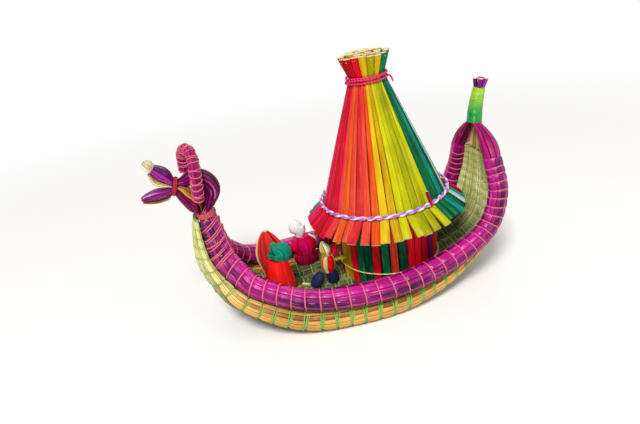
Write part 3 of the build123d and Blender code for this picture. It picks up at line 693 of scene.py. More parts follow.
def hull_line(places, roll=None):
    """Rows of the port gunwale, or of a roll, at places with the share by which it is drawn in."""
    rows = []
    for place, drawn in places:
        section = hull_section(place)
        if roll is None:
            middle = section.gunwale
            radius = section.radius * (GUNWALE_BELLY - GUNWALE_DRAWN * drawn)
        else:
            middle = section.rolls[roll]
            radius = roll_radius(section, roll) * (1.0 - ROLL_DRAWN * drawn)
        rows.append((*middle, radius, radius))
    return rows


def stations_of(rows, across=PORT, start=None, end=None):
    """Stations of a bundle, each with its half depth and half width as vectors."""
    points = [Vector(row[:3]) for row in rows]
    last = len(rows) - 1
    made = []
    for i, row in enumerate(rows):
        along = (points[min(i + 1, last)] - points[max(i - 1, 0)]).normalized()
        if i == 0 and start is not None:
            along = start
        if i == last and end is not None:
            along = end
        depth = across.cross(along).normalized()
        width = along.cross(depth)
        made.append(Station(points[i], depth * row[3], width * row[4], along))
    return made


def station_matrix(station):
    matrix = Matrix((station.depth, station.width, station.along)).transposed().to_4x4()
    matrix.translation = station.middle
    return matrix


def on_side(stations, side):
    """Stations of the port side, on the side that is named."""
    flip = SIDES[side]
    return [Station(*(part * flip for part in station)) for station in stations]


def bundle_outline(strips, seed, groove=0.06, crown=0.012):
    """Corners of a bundle's outline: flat strips side by side, each with a groove beside it."""
    random = Random(seed)
    edges = [k + random.uniform(-0.14, 0.14) for k in range(strips)]
    edges.append(edges[0] + strips)
    profile = ((0.0, 1 - groove, 1.0), (0.13, 1.0, 0.0), (0.5, 1 - crown, 0.0), (0.87, 1.0, 0.0))
    corners = []
    for k in range(strips):
        reach = 1 + random.uniform(-0.02, 0.012)
        for share, out, mark in profile:
            angle = 2 * pi * (edges[k] + (edges[k + 1] - edges[k]) * share) / strips
            corners.append(Corner(cos(angle) * out * reach, sin(angle) * out * reach, mark, k))
    return corners


def fold_outline(folds, seed):
    """Corners of a folded doll's outline: nearly round, with a soft crease between its folds."""
    random = Random(seed)
    creases = [2 * pi * (k + random.uniform(-0.2, 0.2)) / folds + 0.35 for k in range(folds)]
    corners = []
    for k in range(FOLD_CORNERS):
        angle = 2 * pi * k / FOLD_CORNERS
        gaps = [abs((angle - crease + pi) % (2 * pi) - pi) for crease in creases]
        crease = max(0.0, 1 - min(gaps) / 0.2)
        reach = 1 - 0.07 * crease + 0.02 * cos(folds * angle)
        fold = sum(1 for other in creases if angle > other) % folds
        corners.append(Corner(cos(angle) * reach, sin(angle) * reach, crease, fold))
    return corners


def round_outline(corners):
    angles = [2 * pi * k / corners for k in range(corners)]
    return [Corner(cos(angle), sin(angle), 0.0, 0) for angle in angles]


def flat_outline(corners=16):
    """A flattened straw: flat above and below, rounded at its folded edges."""
    made = []
    for k in range(corners):
        angle = 2 * pi * (k + 0.5) / corners
        depth, width = cos(angle), sin(angle)
        depth = copysign(abs(depth) ** 0.55, depth)
        width = copysign(abs(width) ** 0.75, width)
        made.append(Corner(depth, width, 0.0, 0))
    return made


def tone_list(random, strips, low=0.0, high=1.0):
    return [random.uniform(low, high) for _ in range(strips)]


def new_shell():
    shell = bmesh.new()
    shell.loops.layers.uv.new("Reed")
    shell.faces.layers.float.new("tone")
    shell.verts.layers.float.new("groove")
    return shell


def verts_in(geometry):
    return [item for item in geometry if isinstance(item, bmesh.types.BMVert)]


def edges_round(shell, ring):
    return [shell.edges.get(pair) for pair in zip(ring, ring[1:] + ring[:1])]


def sweep(shell, stations, outline, tones, finishes=(0,), cuts=(), opening=None):
    """Extrudes an outline from station to station. Its strips take the finishes in turn.

    The ends named in cuts, 0 and -1, are cut straw. opening is its wall's thickness and how deep
    it is open."""
    uv = shell.loops.layers.uv["Reed"]
    tone_layer = shell.faces.layers.float["tone"]
    groove_layer = shell.verts.layers.float["groove"]
    size = len(outline)
    ring = bmesh.ops.create_circle(shell, cap_ends=False, radius=1.0, segments=size)["verts"]
    for vert, corner in zip(ring, outline):
        vert.co = (corner.depth, corner.width, 0)
    before = station_matrix(stations[0])
    bmesh.ops.transform(shell, matrix=before, verts=ring)
    rings = [ring]
    for station in stations[1:]:
        made = bmesh.ops.extrude_edge_only(shell, edges=edges_round(shell, ring))["geom"]
        fresh = set(verts_in(made))
        ring = [
            next(e.other_vert(v) for e in v.link_edges if e.other_vert(v) in fresh) for v in ring
        ]
        after = station_matrix(station)
        bmesh.ops.transform(shell, matrix=after @ before.inverted(), verts=ring)
        before = after
        rings.append(ring)
    for ring in rings:
        for vert, corner in zip(ring, outline):
            vert[groove_layer] = corner.groove
    travelled = 0.0
    for low, high, here, there in zip(rings, rings[1:], stations, stations[1:]):
        further = travelled + (there.middle - here.middle).length
        for k, corner in enumerate(outline):
            after_k = (k + 1) % size
            left, right = k / size, (k + 1) / size
            places = {
                low[k]: (left, travelled), low[after_k]: (right, travelled),
                high[after_k]: (right, further), high[k]: (left, further),
            }
            face = shell.faces.get(list(places))
            for loop in face.loops:
                loop[uv].uv = places[loop.vert]
            face[tone_layer] = tones[corner.strip]
            face.material_index = finishes[corner.strip % len(finishes)]
        travelled = further
    for end, inward in ((0, 1), (-1, -1)):
        rim = edges_round(shell, rings[end])
        cap = bmesh.ops.contextual_create(shell, geom=rim)["faces"][0]
        cap[tone_layer] = tones[0]
        cap.material_index = finishes[0]
        if end in cuts:
            wall, depth = opening
            wall_faces = bmesh.ops.inset_region(
                shell, faces=[cap], thickness=wall, use_even_offset=True
            )["faces"]
            for face in (*wall_faces, cap):
                face.material_index = CUT_END
                face[tone_layer] = tones[0]
            floor = bmesh.ops.extrude_discrete_faces(shell, faces=[cap])["faces"][0]
            shift = stations[end].along * (inward * depth)
            bmesh.ops.translate(shell, vec=shift, verts=floor.verts)


def spun_ring(shell, thickness, steps, sides):
    """A ring of cord of radius 1 round Z, as faces and vertices that can be copied into place."""
    uv = shell.loops.layers.uv["Reed"]
    profile = bmesh.ops.create_circle(
        shell, cap_ends=False, radius=thickness, segments=sides,
        matrix=Matrix.Translation((1, 0, 0)) @ Matrix.Rotation(pi / 2, 4, "X"),
    )["verts"]
    bmesh.ops.spin(
        shell, geom=profile + edges_round(shell, profile), cent=(0, 0, 0), axis=(0, 0, 1),
        angle=2 * pi, steps=steps, use_merge=True,
    )
    for face in shell.faces:
        centre = face.calc_center_median()
        middle_turn = atan2(centre.y, centre.x)
        middle_side = atan2(centre.z, hypot(centre.x, centre.y) - 1)
        for loop in face.loops:
            x, y, z = loop.vert.co
            turn = atan2(y, x) - middle_turn
            side = atan2(z, hypot(x, y) - 1) - middle_side
            turn = (turn + pi) % (2 * pi) - pi + middle_turn
            side = (side + pi) % (2 * pi) - pi + middle_side
            loop[uv].uv = (side / (2 * pi), turn * RING_ALONG)
    return list(shell.verts) + list(shell.edges) + list(shell.faces)


def cord_turns(path, turns, radius, steps):
    """Closed turns of cord, each with the next finish of its piece.

    path gives a turn's middle, outward and upward directions at an angle."""
    shell = new_shell()
    for number, turn in enumerate(turns):
        own = new_shell()
        spun_ring(own, CORD_PATTERN, steps, CORD_SIDES)
        for vert in own.verts:
            out_share = (hypot(vert.co.x, vert.co.y) - 1) / CORD_PATTERN
            up_share = vert.co.z / CORD_PATTERN
            middle, out, up = path(turn, atan2(vert.co.y, vert.co.x))
            vert.co = middle + out * (out_share * radius) + up * (up_share * radius)
        for face in own.faces:
            face.material_index = number
        mesh = bpy.data.meshes.new("turn")
        own.to_mesh(mesh)
        own.free()
        shell.from_mesh(mesh)
        bpy.data.meshes.remove(mesh)
    return shell


def settle(name, shell, finishes, nodes, sharp=38.0):
    """Turns a shell into a piece of the object that stands for CAD nodes."""
    bmesh.ops.recalc_face_normals(shell, faces=shell.faces)
    for vert in shell.verts:
        vert.co.z = max(vert.co.z, FOOT_Z)
    for face in shell.faces:
        face.material_index = min(face.material_index, len(finishes) - 1)
    bmesh.ops.transform(shell, matrix=TO_FRAME, verts=shell.verts)
    mesh = bpy.data.meshes.new(name)
    shell.to_mesh(mesh)
    shell.free()
    for finish in finishes:
        mesh.materials.append(finish_named(finish))
    mesh.polygons.foreach_set("use_smooth", [True] * len(mesh.polygons))
    mesh.set_sharp_from_angle(angle=radians(sharp))
    piece = bpy.data.objects.new(name, mesh)
    bpy.context.scene.collection.objects.link(piece)
    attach(piece, "root")
    if nodes:
        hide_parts(*nodes)


def reed_bundle(name, finish, node, stations, strips, groove, crown=0.012, seed=None,
                tones=(0.0, 1.0)):
    """A piece that is one bundle of reeds. Returns its random numbers, for the thread round it."""
    random = Random(seed or node)
    shell = new_shell()
    outline = bundle_outline(strips, seed or node, groove, crown)
    sweep(shell, stations, outline, tone_list(random, strips, *tones))
    settle(name, shell, [finish], [node])
    return random


def lash(name, finish, thickness, steps, sides, turns):
    """A piece of thread rings round bundles. thickness is a share of the bundle's radius.

    A turn is its station, how far it leans along the bundle in depth and width, and its reach."""
    shell = new_shell()
    pattern = spun_ring(shell, thickness, steps, sides)
    for station, lean_depth, lean_width, reach in turns:
        thick = (station.depth.length + station.width.length) / 2
        leaning = Station(
            station.middle, station.depth * reach + station.along * lean_depth,
            station.width * reach + station.along * lean_width, station.along * thick,
        )
        copied = bmesh.ops.duplicate(shell, geom=pattern)["geom"]
        bmesh.ops.transform(shell, matrix=station_matrix(leaning), verts=verts_in(copied))
    bmesh.ops.delete(shell, geom=verts_in(pattern), context="VERTS")
    settle(name, shell, [finish], [])


def piece_name(node):
    return node.title().replace("_", "")


def straw_opening():
    """Thickness of a cut straw's wall and how deep it is open, in millimetres."""
    sizes = bpy.context.scene.reedboat_sizes
    return sizes.straw_wall * PER_METRE, sizes.cut_depth * PER_METRE


class REEDBOAT_OT_stage(bpy.types.Operator):
    """Adds the pale floor, the soft lights and the camera"""

    bl_idname = "reedboat.stage"
    bl_label = "Stage"

    def execute(self, context):
        scene = context.scene
        scene.view_settings.view_transform = "Standard"
        shell = bmesh.new()
        bmesh.ops.create_circle(shell, cap_ends=True, radius=6.0, segments=96)
        mesh = bpy.data.meshes.new("Floor")
        shell.to_mesh(mesh)
        shell.free()
        floor = bpy.data.objects.new("Floor", mesh)
        scene.collection.objects.link(floor)
        finish = new_finish("Pale floor")
        distance = finish.node("VectorMath", {0: finish.place()}, out="Value", operation="LENGTH")
        pale = rgba(from_screen(238, 236, 232))
        shaded = finish.node("BsdfDiffuse", {"Color": pale, "Roughness": 0.5})
        bright = finish.node("Emission", {"Color": WHITE, "Strength": 1.0})
        far = finish.share(distance, *FLOOR_FADE)
        mesh.materials.append(
            finish.output("Material", finish.node("MixShader", {0: far, 1: shaded, 2: bright}))
        )

        world = Finish(bpy.data.worlds.new("Studio"))
        paths = world.node("LightPath").socket.node
        seen = sum((Field(world, paths.outputs[f"Is {ray} Ray"])
                    for ray in ("Camera", "Glossy", "Transmission")), 0.0)
        strength = world.node("MapRange", {0: seen, 3: 0.42, 4: 1.0})
        back = world.node("Background", {"Color": WHITE, "Strength": strength})
        scene.world = world.output("World", back)

        for name, place, size, power in (
            ("Key light", (0.35, 0.85, 1.1), 0.35, 16.0),
            ("Fill light", (-0.9, 0.7, 0.6), 0.9, 2.5),
            ("Back light", (-0.3, -1.1, 0.9), 0.8, 4.0),
        ):
            lamp = bpy.data.lights.new(name, "AREA")
            lamp.size = size
            lamp.energy = power
            light = bpy.data.objects.new(name, lamp)
            light.location = place
            aim = LIGHTS_AIM - Vector(place)
            light.rotation_euler = aim.to_track_quat("-Z", "Y").to_euler()
            scene.collection.objects.link(light)

        level = cos(CAMERA_RISE)
        back = Vector((sin(CAMERA_AZIMUTH) * level, cos(CAMERA_AZIMUTH) * level, sin(CAMERA_RISE)))
        right = (-back).cross(UP).normalized()
        above = right.cross(-back)
        side = right * cos(CAMERA_ROLL) - above * sin(CAMERA_ROLL)
        top = right * sin(CAMERA_ROLL) + above * cos(CAMERA_ROLL)
        lens = bpy.data.cameras.new("Camera")
        lens.sensor_width = SENSOR
        lens.lens = LENS_COLUMNS / PHOTO_COLUMNS * SENSOR
        lens.clip_start = 0.01
        camera = bpy.data.objects.new("Camera", lens)
        camera.matrix_world = station_matrix(Station(CAMERA_PLACE, side, top, back))
        scene.collection.objects.link(camera)
        scene.camera = camera
        return {"FINISHED"}


class REEDBOAT_OT_rolls(bpy.types.Operator):
    """Builds the natural reed rolls of the hull with their green lashings"""

    bl_idname = "reedboat.rolls"
    bl_label = "Natural Rolls"

    def execute(self, context):
        sizes = context.scene.reedboat_sizes
        thread = sizes.roll_thread * PER_METRE / ROLL_TYPICAL
        places = between_lashings(ROLL_START)
        lashed = [(place, 1.0) for place in LASHINGS if place > ROLL_START + 0.05]
        # Columns: name, finish, and where the turns of a lashing lie
        for k, (name, finish, shares) in enumerate((
            ("inner", "Inside reed", (-0.5, 0.5)),
            ("middle", "Inside reed", (-0.5, 0.5)),
            ("outer", "Natural reed", (-0.5, 0.0, 0.5)),
        )):
            stations = stations_of(hull_line(places, k), end=STERN_UP)
            ties = stations_of(hull_line(lashed, k), end=STERN_UP)
            for side in SIDES:
                random = reed_bundle(
                    f"Roll_{name}_{side}", finish, f"reed_roll_{name}_{side}",
                    on_side(stations, side), sizes.roll_strips, 0.065, crown=0.0, tones=(0.1, 0.95),
                )
                turns = []
                for tie in on_side(ties, side):
                    lean = random.uniform(0.9, 1.5)
                    spread = random.uniform(0.9, 1.5)
                    for share in shares:
                        turns.append((
                            tie._replace(middle=tie.middle + tie.along * (spread * share)),
                            lean + 2.2 * share, random.uniform(-0.4, 0.4), 1.1 + 0.05 * abs(share),
                        ))
                lash(f"Roll_{name}_{side}_thread", "Green thread", thread, 14, 4,
                     turns)
        return {"FINISHED"}


class REEDBOAT_OT_gunwales(bpy.types.Operator):
    """Builds the purple gunwales, drawn in by their pink lashings"""

    bl_idname = "reedboat.gunwales"
    bl_label = "Gunwales"

    def execute(self, context):
        sizes = context.scene.reedboat_sizes
        thread = sizes.gunwale_thread * PER_METRE / GUNWALE_TYPICAL
        stations = stations_of(hull_line(between_lashings()), start=-NECK_UP, end=STERN_UP)
        lashed = [(place, 1.0) for place in LASHINGS[:-1]]
        ties = stations_of(hull_line(lashed), start=-NECK_UP)
        for side in SIDES:
            random = reed_bundle(
                f"Gunwale_{side}", "Purple reed", f"gunwale_{side}",
                on_side(stations, side), sizes.gunwale_strips, 0.035,
            )
            turns = []
            for place, tie in zip(LASHINGS, on_side(ties, side)):
                neck = max(0.0, 1 - place / 3)
                lean = -(0.8 + 4.2 * neck) + random.uniform(-0.4, 0.4)
                turns.append((tie, lean, random.uniform(-0.4, 0.4), 1.03 + 0.05 * neck))
                if place < DOUBLE_TURNS:
                    middle = tie.middle - tie.along * random.uniform(1.0, 1.5)
                    lean += random.uniform(-0.9, 0.9)
                    beside = tie._replace(middle=middle)
                    turns.append((beside, lean, random.uniform(-0.4, 0.4), 1.07))
            lash(f"Gunwale_{side}_thread", "Pink thread", thread, 24, 6, turns)
        return {"FINISHED"}


def round_neck(level, angle):
    """Round both gunwales at the neck, below its middle by level: straight sides, round corners."""
    deep = max(-1, min(1, 1.35 * cos(angle))) * (NECK_DEPTH - NECK_CORNER)
    wide = max(-1, min(1, 1.35 * sin(angle))) * (NECK_WIDTH - NECK_CORNER)
    out = (NECK_OUT * cos(angle) + PORT * sin(angle)).normalized()
    middle = NECK_MIDDLE - NECK_UP * level + NECK_OUT * deep + PORT * wide
    return middle + out * NECK_CORNER, out, NECK_UP


def round_jaw(level, angle):
    out = JAW_UP * (5.85 * cos(angle)) + PORT * (5.65 * sin(angle))
    return JAW_MIDDLE + JAW_ALONG * level + out, out.normalized(), JAW_ALONG


class REEDBOAT_OT_head(bpy.types.Operator):
    """Builds the animal's head: crown, straws, chin, jaws, snout, ties and ear loop"""

    bl_idname = "reedboat.head"
    bl_label = "Head"

    def execute(self, context):
        skull, jaw, free = (NECK_UP, JAW_ALONG), (JAW_ALONG, None), (None, None)
        # Columns: node, rows, strips, finish, slot, and the directions in which it starts and ends
        for node, rows, strips, finish, slot, ends in (
            ("head_crown", CROWN_ROWS, 15, "Dark purple reed", "dark_purple_reed", skull),
            ("head_straws", HEAD_STRAW_ROWS, 12, "Yellow straw", "yellow_straw", skull),
            ("head_chin", CHIN_ROWS, 12, "Magenta reed", "purple_reed", skull),
            ("upper_jaw", UPPER_JAW_ROWS, 10, "Violet reed", "purple_reed", jaw),
            ("lower_jaw", LOWER_JAW_ROWS, 10, "Violet reed", "purple_reed", jaw),
            ("snout_tip", SNOUT_ROWS, 9, "Pale reed", "pale_reed", free),
        ):
            stations = stations_of(refined(on_centre(rows), 6), PORT, *ends)
            reed_bundle(piece_name(node), finish, node, stations, strips, 0.07)
        shell = new_shell()
        random = Random("linings")
        for rows in (UPPER_LINING_ROWS, LOWER_LINING_ROWS):
            stations = stations_of(refined(on_centre(rows), 5))
            outline = bundle_outline(6, "lining", groove=0.1)
            sweep(shell, stations, outline, tone_list(random, 6))
        settle("JawLinings", shell, ["Cream straw"], ["jaw_linings"])

        shell = cord_turns(round_neck, [0.5 + 0.7 * k for k in range(5)], 0.44, 72)
        settle("NeckTie", shell, ["Red thread"], ["neck_tie"])
        shell = cord_turns(round_jaw, [0.76 * k for k in (-1, 0, 1)], 0.46, 48)
        settle("JawTie", shell, ["Deep red thread"], ["jaw_tie"])

        rows = [(*place, EAR_RADIUS, EAR_RADIUS) for place in refined(EAR_ROWS, 6)]
        stations = stations_of(rows, across=BOW)
        random = reed_bundle("EarLoop", "Magenta reed", "ear_loop", stations, 8,
                             0.08, seed="ear", tones=(0.1, 0.7))
        turns = [
            (station, random.uniform(1.0, 1.8), random.uniform(-0.5, 0.5), 1.02)
            for station in stations[1:-1:3]
        ] + [
            (station, random.uniform(-1.4, -0.5), random.uniform(-0.4, 0.4), 1.03)
            for station in stations[2:-1:6]
        ]
        lash("EarLoop_thread", "Pink thread", EAR_THREAD / EAR_RADIUS, 16, 5, turns)
        return {"FINISHED"}


class REEDBOAT_OT_stern(bpy.types.Operator):
    """Builds the flared reeds at the stern, the straws between them, the sleeve and the tuft"""

    bl_idname = "reedboat.stern"
    bl_label = "Stern"

    def execute(self, context):
        rows = refined(STERN_REED_ROWS, 7)
        stations = stations_of(rows, across=BOW, start=STERN_UP, end=SLEEVE_UP)
        for side in SIDES:
            reed_bundle(f"SternReeds_{side}", "Magenta reed", f"stern_reeds_{side}",
                        on_side(stations, side), 10, 0.12)
        random = Random("stern straws")
        shell = new_shell()
        for offset in (-2, -1, 0, 1, 2):
            rows = refined([(x, y * offset, *rest) for x, y, *rest in STERN_STRAW_ROWS], 3)
            straight = stations_of(rows, start=STERN_UP, end=SLEEVE_UP)
            sweep(shell, straight, round_outline(10), tone_list(random, 1))
        settle("SternStraws", shell, ["Olive straw"], ["stern_straws"])
        rows = []
        for k, (x, z, radius) in enumerate(refined(SLEEVE_ROWS, 48)):
            radius += SLEEVE_RIDGES[k % len(SLEEVE_RIDGES)]
            rows.append((x, 0.0, z, radius, radius))
        shell = new_shell()
        sweep(shell, stations_of(rows), round_outline(24), [0.5])
        settle("SternSleeve", shell, ["Green winding"], ["stern_sleeve"], sharp=60)
        shell = new_shell()
        random = Random("tuft")
        for k in range(7):
            # Six straws in a ring, and the longest in the middle
            out = TUFT_SIDE * cos(pi * k / 3) + PORT * sin(pi * k / 3) if k < 6 else Vector()
            reach = random.uniform(5.6, 6.4) if k < 6 else 6.9
            foot, tip = TUFT_FOOT + out * 2.8, TUFT_FOOT + TUFT_UP * reach + out * 4.1
            rows = [(*foot, 1.3, 1.3), (*foot.lerp(tip, 0.5), 1.45, 1.45), (*tip, 1.65, 1.65)]
            sweep(shell, stations_of(rows, start=TUFT_UP), round_outline(12), tone_list(random, 1),
                  cuts=(-1,), opening=straw_opening())
        finishes = ["Violet reed", "Cream cut end"]
        settle("SternTuft", shell, finishes, ["stern_tuft"])
        return {"FINISHED"}


def wall_straw(k, random):
    """Stations of a straw in the hut's wall, from the floor up."""
    angle = WALL_TURN + 2 * pi / WALL_STRAWS * k
    out = Vector((cos(angle), sin(angle), 0))
    around = Vector((-sin(angle), cos(angle), 0))
    lean = random.uniform(-0.018, 0.018)
    half_width = random.uniform(2.45, 2.8)
    stations = []
    for share in (0.0, 0.35, 0.7, 1.0):
        z = WALL_FOOT + (WALL_TOP - WALL_FOOT) * share
        swell = 1 + 0.03 * sin(7 * share + k)
        middle = Vector((WALL_X, 0, z)) + out * (WALL_RADIUS - 0.1) + around * (lean * (z - 45))
        stations.append(Station(middle, out * 1.1, around * (half_width * swell), UP))
    return stations


def round_wall(z, angle):
    out = Vector((cos(angle), sin(angle), 0))
    return Vector((WALL_X, 0, z)) + out * (WALL_RADIUS + BINDING_OUT), out, UP


class REEDBOAT_OT_hut(bpy.types.Operator):
    """Builds the hut's straw wall and its thread binding"""

    bl_idname = "reedboat.hut"
    bl_label = "Hut Wall"

    def execute(self, context):
        for name in dict.fromkeys(WALL_COLOURS):
            shell = new_shell()
            random = Random(name)
            for k, straw in enumerate(WALL_COLOURS):
                if straw == name:
                    stations = wall_straw(k, random)
                    tones = tone_list(random, 1, 0.05, 0.95)
                    sweep(shell, stations, flat_outline(), tones, cuts=(0, -1), opening=(0.35, 1.4))
            finishes, _ = straw_finishes(name)
            settle(f"WallStraws_{name}", shell, finishes, [f"wall_straws_{name}"])
        shell = cord_turns(round_wall, [BINDING_Z], 0.45, 96)
        settle("WallBinding", shell, ["Cream thread"], ["wall_binding"])
        return {"FINISHED"}


def roof_out(angle):
    """Outward direction from the roof's leaning axis."""
    return ROOF_SIDE * cos(angle) + PORT * sin(angle)


def roof_point(height, radius, angle):
    """A point on the roof, from its height along the leaning axis, radius and angle."""
    return ROOF_BASE + ROOF_AXIS * height + roof_out(angle) * radius


def roof_straw(angle, random):
    """Stations of a roof straw, from the waist down over the bend to the skirt's edge."""
    chord = 2 * tan(pi / ROOF_STRAWS)
    sway = random.uniform(-0.014, 0.014)
    splay = random.uniform(-0.035, 0.035)
    narrow = random.uniform(0.9, 1.02)
    lift = random.uniform(-0.25, 0.25)
    end_share = random.uniform(0.84, 0.985)
    droop = random.uniform(-0.4, 0.4)
    around = roof_out(angle + pi / 2)
    stations = []
    # Shares are up to 1 from the waist to the bend, and up to 2 from there to the edge
    for share in (0.0, 0.12, 0.3, 0.5, 0.7, 0.86, 0.95, 1.0, 1.06, 1.16, 1.32, 1.6, 1.8, 2.0):
        if share <= 1:
            height = WAIST_HEIGHT - 0.1 + (BEND_HEIGHT - WAIST_HEIGHT) * share
            radius = WAIST_RADIUS + (BEND_RADIUS - WAIST_RADIUS) * share
            width = chord * radius * (narrow + 0.3 * (1 - share) ** 3)
            bent = angle + sway * sin(pi * share)
            out = UPPER_OUT.lerp(SEAT_OUT, max(0, share - 0.9) * 10)
        else:
            gone = (share - 1) * end_share
            height = BEND_HEIGHT + (SKIRT_HEIGHT - BEND_HEIGHT) * gone + droop * gone * gone
            radius = BEND_RADIUS + (SKIRT_RADIUS - BEND_RADIUS) * gone
            width = chord * BEND_RADIUS * max(narrow, 0.96) * (1 + 0.17 * gone)
            bent = angle + splay * gone
            out = SEAT_OUT.lerp(LOWER_OUT, min(1, (share - 1) * 6))
        out = out.normalized()
        middle = roof_point(height + out.y * lift, radius + out.x * lift, bent)
        depth = ROOF_AXIS * out.y + roof_out(bent) * out.x
        along = around.cross(depth).normalized()
        tilt = 0.16 * max(0, 1 - share)
        half_width = (around * cos(tilt) + depth * sin(tilt)) * (width / 2)
        pinch = 0.62 + 0.38 * min(1, abs(share - 1) * 5)
        stations.append(Station(middle, depth * (1.15 * pinch), half_width, along))
    return stations


def round_roof(ply, angle):
    """Round the roof's bend, twisted with the other ply."""
    twist = RING_TWISTS * angle + pi * ply + 0.9 * sin(5 * angle)
    middle = roof_point(RING_HEIGHT + 0.85 * sin(twist), RING_RADIUS + 0.6 * cos(twist), angle)
    return middle, roof_out(angle), ROOF_AXIS


def round_waist(turn, angle):
    """Round the waist. A turn is its rise, slant and wander."""
    rise, slant, wander = turn
    height = rise + slant * sin(angle - 0.6) + wander * sin(3 * angle)
    reach = WAIST_RADIUS + max(0, -height) * CONE_SLOPE + 2.45 + 0.4 * wander
    return roof_point(WAIST_HEIGHT + height, reach, angle), roof_out(angle), UP


class REEDBOAT_OT_roof(bpy.types.Operator):
    """Builds the roof straws, the twisted cord over their bend and the tie at the waist"""

    bl_idname = "reedboat.roof"
    bl_label = "Roof"

    def execute(self, context):
        number = 0
        for name, straws in ROOF_GROUPS:
            shell = new_shell()
            random = Random(name)
            finishes, kinds = straw_finishes(ROOF_MIXES.get(name, f"{name} " * straws))
            for kind in kinds:
                stations = roof_straw(ROOF_TURN + 2 * pi / ROOF_STRAWS * number, random)
                number += 1
                sweep(shell, stations, flat_outline(), tone_list(random, 1), (kind,), (-1,),
                      straw_opening())
            settle(f"RoofStraws_{name}", shell, finishes, [f"roof_straws_{name}"])

        # A cut end that sticks up from under the cord. Columns: height and how far it stands off
        rows = []
        for height, out in ((20.5, 0.6), (25.0, 0.9), (30.0, 1.6)):
            radius = RING_RADIUS - CONE_SLOPE * (height - RING_HEIGHT) + out
            rows.append((*roof_point(height, radius, STUB_ANGLE), 0.8, 1.5))
        shell = new_shell()
        sweep(shell, stations_of(rows), flat_outline(12), [0.6], cuts=(-1,), opening=(0.35, 0.6))
        settle("RoofStub", shell, straw_finishes("crimson_aft")[0], [])

        shell = cord_turns(round_roof, (0, 1), 0.78, 320)
        plies = ["White ply", "Lilac ply"]
        settle("RoofRingCord", shell, plies, ["roof_ring_cord"])

        shell = cord_turns(round_waist, WAIST_TURNS, 0.66, 64)
        tail = [
            (*roof_point(WAIST_HEIGHT + up, 13.0 + out, TAIL_ANGLE), 0.6, 0.6)
            for up, out in ((-0.6, 0.0), (-0.2, 1.6), (-1.8, 3.0), (-4.4, 3.6))
        ]
        sweep(shell, stations_of(refined(tail, 4)), round_outline(8), [0.5])
        settle("RoofTie", shell, ["Rose thread"], ["roof_tie"])
        return {"FINISHED"}


def top_straw(ring, k):
    """Stations of straw k in a ring of the ends above the waist."""
    straws, ring_out, radius, wide = TOP_RINGS[ring]
    angle = TOP_TURN + 2 * pi * k / straws
    trim = 0.55 * sin(5 * k + 3 * ring) + (0.1 if ring else -0.9)
    stations = []
    for share in (0.0, 0.2, 0.5, 0.8, 1.0):
        height = WAIST_HEIGHT + 0.1 + (TOP_HEIGHT + trim - WAIST_HEIGHT - 0.1) * share
        spread = TOP_SPREAD + (1 - TOP_SPREAD) * share
        size = radius * spread
        stations.append(Station(
            roof_point(height, ring_out * spread, angle), roof_out(angle) * size,
            roof_out(angle + pi / 2) * (size * wide), ROOF_AXIS,
        ))
    return stations


class REEDBOAT_OT_top(bpy.types.Operator):
    """Builds the cut straw ends above the waist"""

    bl_idname = "reedboat.top"
    bl_label = "Straw Ends"

    def execute(self, context):
        shells = {}
        outer = [name for name, number in TOP_GROUPS for _ in range(number)]
        for ring, (straws, *_) in enumerate(TOP_RINGS):
            for k in range(straws):
                name = "inner" if ring else outer[k]
                if name not in shells:
                    shells[name] = new_shell()
                _, mix = straw_finishes(TOP_MIXES.get(name, name))
                random = Random(f"{ring} {k}")
                sweep(shells[name], top_straw(ring, k), round_outline(14), tone_list(random, 1),
                      (mix[k % len(mix)],), (-1,), (0.7, 2.0))
        for name, shell in shells.items():
            finishes, _ = straw_finishes(TOP_MIXES.get(name, name))
            settle(f"TopStraws_{name}", shell, finishes, [f"top_straws_{name}"])
        return {"FINISHED"}


